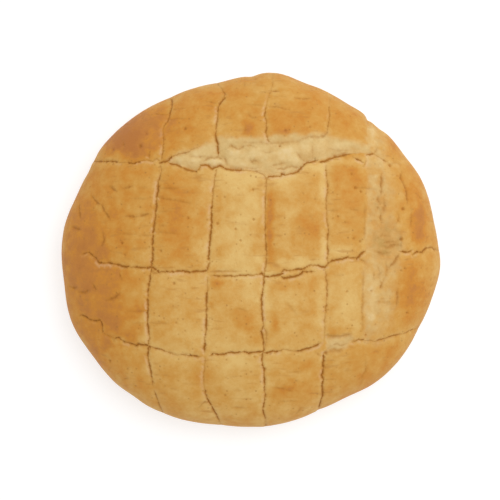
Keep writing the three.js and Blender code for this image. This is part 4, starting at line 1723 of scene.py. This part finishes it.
@dataclass
class Loaf:
    """The loaf: one closed piece with all its relief.

    Attributes:
        form: The bare form.
        view: The view that places the traces.
        ball_levels: How finely the ball that it starts from is split.
        ball_radius: Radius of that ball, in metres; only the directions of its points are used.
        cut_slack: How near to the cut a point of that ball counts as on it, in metres.
        facing_down: Upward part of a normal below which a face belongs to the underside.
        base_scales: Size of each ring of the underside, as a share of the ring round it.
        base_clear: Height below which the flank isn't split.
        splits: The passes that split its faces.
        base_fade: Height by which the relief is full, in waist heights.
        least_depth: Depth below which nothing is pressed.
        swelling, tear_relief, crack_relief, pore_relief: What is sculpted into it.
        lips, browning: How it is coloured; lips is a painted highlight on the lit side of the slash lips.
        piece, slash_net, crack_net: Its object, its slashes and all its cracks, once built.
    """

    form: LoafForm
    view: PhotoView
    ball_levels: int = 7
    ball_radius: float = 1.0
    cut_slack: float = 1e-4
    facing_down: float = -0.999
    base_scales: tuple[float, ...] = (0.96, 0.8, 0.6)
    base_clear: float = 0.5
    splits: tuple[Split, ...] = (
        Split(2.2, pore_reach=3.4, flank_level=1.1, in_tears=True),
        Split(0.85, pore_reach=2.0),
        Split(0.34, slashes_only=True),
    )
    base_fade: float = 0.5
    least_depth: float = 1e-4
    swelling: Swelling = Swelling()
    tear_relief: TearRelief = TearRelief()
    crack_relief: CrackRelief = CrackRelief()
    pore_relief: PoreRelief = PoreRelief()
    lips: LitLipHighlights = LitLipHighlights()
    browning: Browning = Browning()
    piece: bpy.types.Object = field(init=False)
    slash_net: CrackNet = field(init=False)
    crack_net: CrackNet = field(init=False)

    def build(self) -> bpy.types.Object:
        """Models the loaf.

        Returns:
            The loaf's object, undressed.
        """
        self.shape_ball()
        self.draw_out()
        self.lay_cracks()
        for split in self.splits:
            self.refine(split)
        self.sculpt(self.survey())
        return self.piece

    def shape_ball(self) -> None:
        """Halves a ball and closes it with a flat underside."""
        bpy.ops.object.select_all(action="DESELECT")
        bpy.ops.mesh.primitive_ico_sphere_add(subdivisions=self.ball_levels, radius=self.ball_radius)
        self.piece = bpy.context.object
        self.piece.name = "loaf_crust"
        with editing(self.piece):
            bpy.ops.mesh.select_all(action="SELECT")
            bpy.ops.mesh.bisect(plane_co=(0.0, 0.0, 0.0), plane_no=(0.0, 0.0, 1.0), use_fill=True,
                                clear_inner=True, threshold=self.cut_slack)

    def draw_out(self) -> None:
        """Draws the half ball out to the bare form and rings its underside."""
        ball = self.points()
        polar = np.arccos(np.clip(ball[:, 2] / np.linalg.norm(ball, axis=1), 0.0, 1.0))
        lifts = self.form.even_lifts(polar / (math.pi / 2))
        self.move(self.form.surface(np.arctan2(ball[:, 1], ball[:, 0]), lifts))
        _, normals = self.faces()
        self.select(normals[:, 2] < self.facing_down)
        with editing(self.piece):
            for scale in self.base_scales:
                bpy.ops.mesh.inset(thickness=0.0)
                bpy.ops.transform.resize(value=(scale, scale, 1.0), center_override=(0.0, 0.0, 0.0))
            bpy.ops.mesh.poke()

    def lay_cracks(self) -> None:
        """Lays the slashes, and then all cracks, on the bare form."""
        slashes = {CrackKind.SLASH: tuple(run for slash in SLASHES.values() for run in slash)}
        finer = {
            CrackKind.SPLIT: SPLITS,
            CrackKind.CREASE: CREASES,
            CrackKind.FOLD: FOLDS,
            CrackKind.WRINKLE: WRINKLES,
        }
        self.slash_net, self.crack_net = (CrackNet(self.form, self.view) for _ in range(2))
        self.slash_net.lay(slashes)
        self.crack_net.lay(slashes | finer)

    def points(self) -> Array:
        """Reads the mesh's points.

        Returns:
            The points, in millimetres, one a row.
        """
        values = np.empty(3 * len(self.piece.data.vertices))
        self.piece.data.vertices.foreach_get("co", values)
        return values.reshape(-1, 3) / MM

    def move(self, points: Array) -> None:
        """Moves the mesh's points to new places, in millimetres."""
        self.piece.data.vertices.foreach_set("co", (points * MM).ravel())
        self.piece.data.update()

    def faces(self) -> tuple[Array, Array]:
        """Reads the mesh's faces.

        Returns:
            Their middles, in millimetres, and their normals, one a row.
        """
        polygons = self.piece.data.polygons
        middles, normals = (np.empty(3 * len(polygons)) for _ in range(2))
        polygons.foreach_get("center", middles)
        polygons.foreach_get("normal", normals)
        return middles.reshape(-1, 3) / MM, normals.reshape(-1, 3)

    def select(self, picked: Array) -> None:
        """Selects faces, and nothing else.

        Args:
            picked: Whether each face is selected.
        """
        mesh = self.piece.data
        for others in (mesh.vertices, mesh.edges):
            others.foreach_set("select", np.zeros(len(others), dtype=bool))
        mesh.polygons.foreach_set("select", picked)

    def refine(self, split: Split) -> None:
        """Splits faces once.

        Args:
            split: Where they are split.
        """
        middles, normals = self.faces()
        height = middles[:, 2]
        places = self.view.places(middles)
        net = self.slash_net if split.slashes_only else self.crack_net
        on_crown = np.zeros(len(middles), dtype=bool)
        for pore in PORES:
            on_crown |= pore.distance(places) < split.pore_reach
        if split.in_tears:
            for tear in TEARS:
                on_crown |= is_inside(tear.outline, places)
        picked = net.nearest(middles)[1] < split.crack_reach
        picked |= (height > self.base_clear) & (height < split.flank_level * self.form.waist)
        picked |= on_crown & (normals[:, 2] > 0.0)
        self.select(picked)
        with editing(self.piece):
            bpy.ops.mesh.subdivide(number_cuts=1)
            bpy.ops.mesh.select_all(action="SELECT")
            bpy.ops.mesh.quads_convert_to_tris(quad_method="BEAUTY", ngon_method="BEAUTY")

    def survey(self) -> Survey:
        """Measures the bare mesh against the cracks.

        Returns:
            What the relief and the browning start from.
        """
        points = self.points()
        height = points[:, 2]
        crack, from_crack = self.crack_net.nearest(points)
        offset = points - crack.points
        return Survey(
            points=points,
            places=self.view.places(points),
            level=height / self.form.waist,
            below_waist=self.form.waist - height,
            above_base=ease(height, 0.0, self.base_fade * self.form.waist),
            from_slash=self.slash_net.nearest(points)[1],
            from_crack=from_crack,
            crack=crack,
            lit=crack.ways[:, 0] * offset[:, 1] - crack.ways[:, 1] * offset[:, 0] < 0.0,
        )

    def sculpt(self, known: Survey) -> None:
        """Presses all the relief into the bare mesh and keeps the layers that the finish reads.

        Args:
            known: What was measured on the bare mesh.
        """
        floors = self.tear_relief.floors(known)
        pits = self.pore_relief.pits(known)
        broad = self.swelling.depths(known) + floors.depth + self.pore_relief.depth * pits
        self.press(known.above_base * broad + self.crack_relief.depths(known))
        # Painted shade: cracks and pores take a darker colour
        stains = np.maximum(self.crack_relief.stains(known), self.pore_relief.stain * pits)
        # Browning, with the torn floors' tone, whose paler mounds and darker hollows are painted light
        # and shade
        toast = (1.0 - floors.crumb) * self.browning.tones(known) + floors.crumb * floors.tone
        self.keep(Layer.CLEFT, known.above_base * stains)
        self.keep(Layer.CRUMB, known.above_base * floors.crumb)
        # Painted highlight on the side of the slash lips that faces the key light
        self.keep(Layer.LIP, known.above_base * self.lips.shares(known))
        self.keep(Layer.TOAST, np.clip(toast, 0.0, self.browning.most))

    def press(self, depths: Array) -> None:
        """Presses the crust in along its normals, and then raises it where a depth is negative.

        Args:
            depths: Depth at each point of the mesh.
        """
        for sign in (-1.0, 1.0):
            part = np.clip(-sign * depths, 0.0, None)
            most = part.max()
            group = self.piece.vertex_groups.new(name="relief")
            for index in np.flatnonzero(part > self.least_depth):
                group.add((int(index),), float(part[index] / most), "REPLACE")
            displace = self.piece.modifiers.new("relief", "DISPLACE")
            displace.vertex_group = group.name
            displace.mid_level = 0.0
            displace.strength = sign * most * MM
            bpy.context.view_layer.objects.active = self.piece
            bpy.ops.object.modifier_apply(modifier=displace.name)
            self.piece.vertex_groups.clear()

    def keep(self, layer: Layer, values: Array) -> None:
        """Keeps a layer of numbers on the mesh."""
        attribute = self.piece.data.attributes.new(layer.value, "FLOAT", "POINT")
        attribute.data.foreach_set("value", values.astype(np.float32))

    def dress(self, finish: CrustFinish) -> None:
        """Gives the loaf its finish and its place in the frame.

        Args:
            finish: The crust finish.
        """
        self.piece.data.materials.append(finish.make())
        bpy.ops.object.select_all(action="DESELECT")
        self.piece.select_set(True)
        bpy.context.view_layer.objects.active = self.piece
        bpy.ops.object.shade_smooth()
        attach(self.piece, "root")
        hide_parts("loaf")


@dataclass
class Studio:
    """Pale floor, soft light and the camera at the photograph's view.

    Attributes:
        view: The photograph's view.
        floor_radius: Radius of the flat floor.
        floor_sides: Number of its sides.
        rim_radius: Radius of the bend by which its rim rises all round.
        rim_steps: Number of steps in that bend.
        sky: Brightness of the light from all round.
        key_power: Power of the soft light from the upper right, in watts.
        key_place: Where that light stands.
        key_size: Side of that light.
        sight: How far the camera sees.
        floor_finish: Finish of the floor.
    """

    view: PhotoView
    floor_radius: float = 12000.0
    floor_sides: int = 96
    rim_radius: float = 4000.0
    rim_steps: int = 8
    sky: float = 0.504
    key_power: float = 11.2
    key_place: tuple[float, float, float] = (420.0, 400.0, 1400.0)
    key_size: float = 900.0
    sight: float = 50000.0
    floor_finish: FloorFinish = FloorFinish()

    def build(self) -> None:
        """Sets up the floor, the light and the camera."""
        bpy.context.scene.view_settings.view_transform = "Standard"
        self.lay_floor()
        self.light()
        self.aim()

    def lay_floor(self) -> None:
        """Lays the floor under the loaf, with a rim that rises all round behind it."""
        bpy.ops.object.select_all(action="DESELECT")
        bpy.ops.mesh.primitive_circle_add(vertices=self.floor_sides, radius=self.floor_radius * MM,
                                          fill_type="NGON")
        floor = bpy.context.object
        floor.name = "floor"
        turns = np.linspace(0.0, math.pi / 2, self.rim_steps + 1)
        radii = self.floor_radius + self.rim_radius * np.sin(turns)
        levels = self.rim_radius * (1.0 - np.cos(turns))
        with editing(floor):
            bpy.ops.mesh.select_mode(type="EDGE")
            bpy.ops.mesh.select_all(action="SELECT")
            for growth, rise in zip(radii[1:] / radii[:-1], np.diff(levels)):
                bpy.ops.mesh.extrude_edges_move(TRANSFORM_OT_translate={"value": (0.0, 0.0, rise * MM)})
                bpy.ops.transform.resize(value=(growth, growth, 1.0), center_override=(0.0, 0.0, 0.0))
        bpy.ops.object.shade_smooth()
        floor.data.materials.append(self.floor_finish.make())

    def light(self) -> None:
        """Lights the scene softly from all round, and a little more from the upper right."""
        world = bpy.data.worlds.new("studio")
        world.use_nodes = True
        background = world.node_tree.nodes["Background"]
        background.inputs["Color"].default_value = (*WHITE, 1.0)
        background.inputs["Strength"].default_value = self.sky
        bpy.context.scene.world = world
        place = Vector(self.key_place) * MM
        bpy.ops.object.light_add(type="AREA", location=place)
        key = bpy.context.object
        key.rotation_euler = (-place).to_track_quat("-Z", "Y").to_euler()
        key.data.size = self.key_size * MM
        key.data.energy = self.key_power

    def aim(self) -> None:
        """Puts the camera straight above the loaf, looking down."""
        place = Vector((*self.view.eye, self.view.form.waist + self.view.distance))
        bpy.ops.object.camera_add(location=place * MM, rotation=(0.0, 0.0, 0.0))
        camera = bpy.context.object
        camera.data.lens = self.view.lens
        camera.data.sensor_width = self.view.sensor
        camera.data.clip_end = self.sight * MM
        bpy.context.scene.camera = camera


def main() -> None:
    """Builds the loaf and the studio in order."""
    logging.basicConfig(level=logging.INFO, format="%(name)s: %(message)s")
    low, high = (Vector(corner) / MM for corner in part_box("loaf"))
    form = LoafForm(width=high.x - low.x, height=high.z - low.z)
    view = PhotoView(form)
    loaf = Loaf(form, view)
    piece = loaf.build()
    loaf.dress(CrustFinish())
    piece.data.calc_loop_triangles()
    LOG.info("%s: %d triangles", piece.name, len(piece.data.loop_triangles))
    Studio(view).build()
    LOG.info("studio: floor, light and camera")


if __name__ == "__main__":
    main()
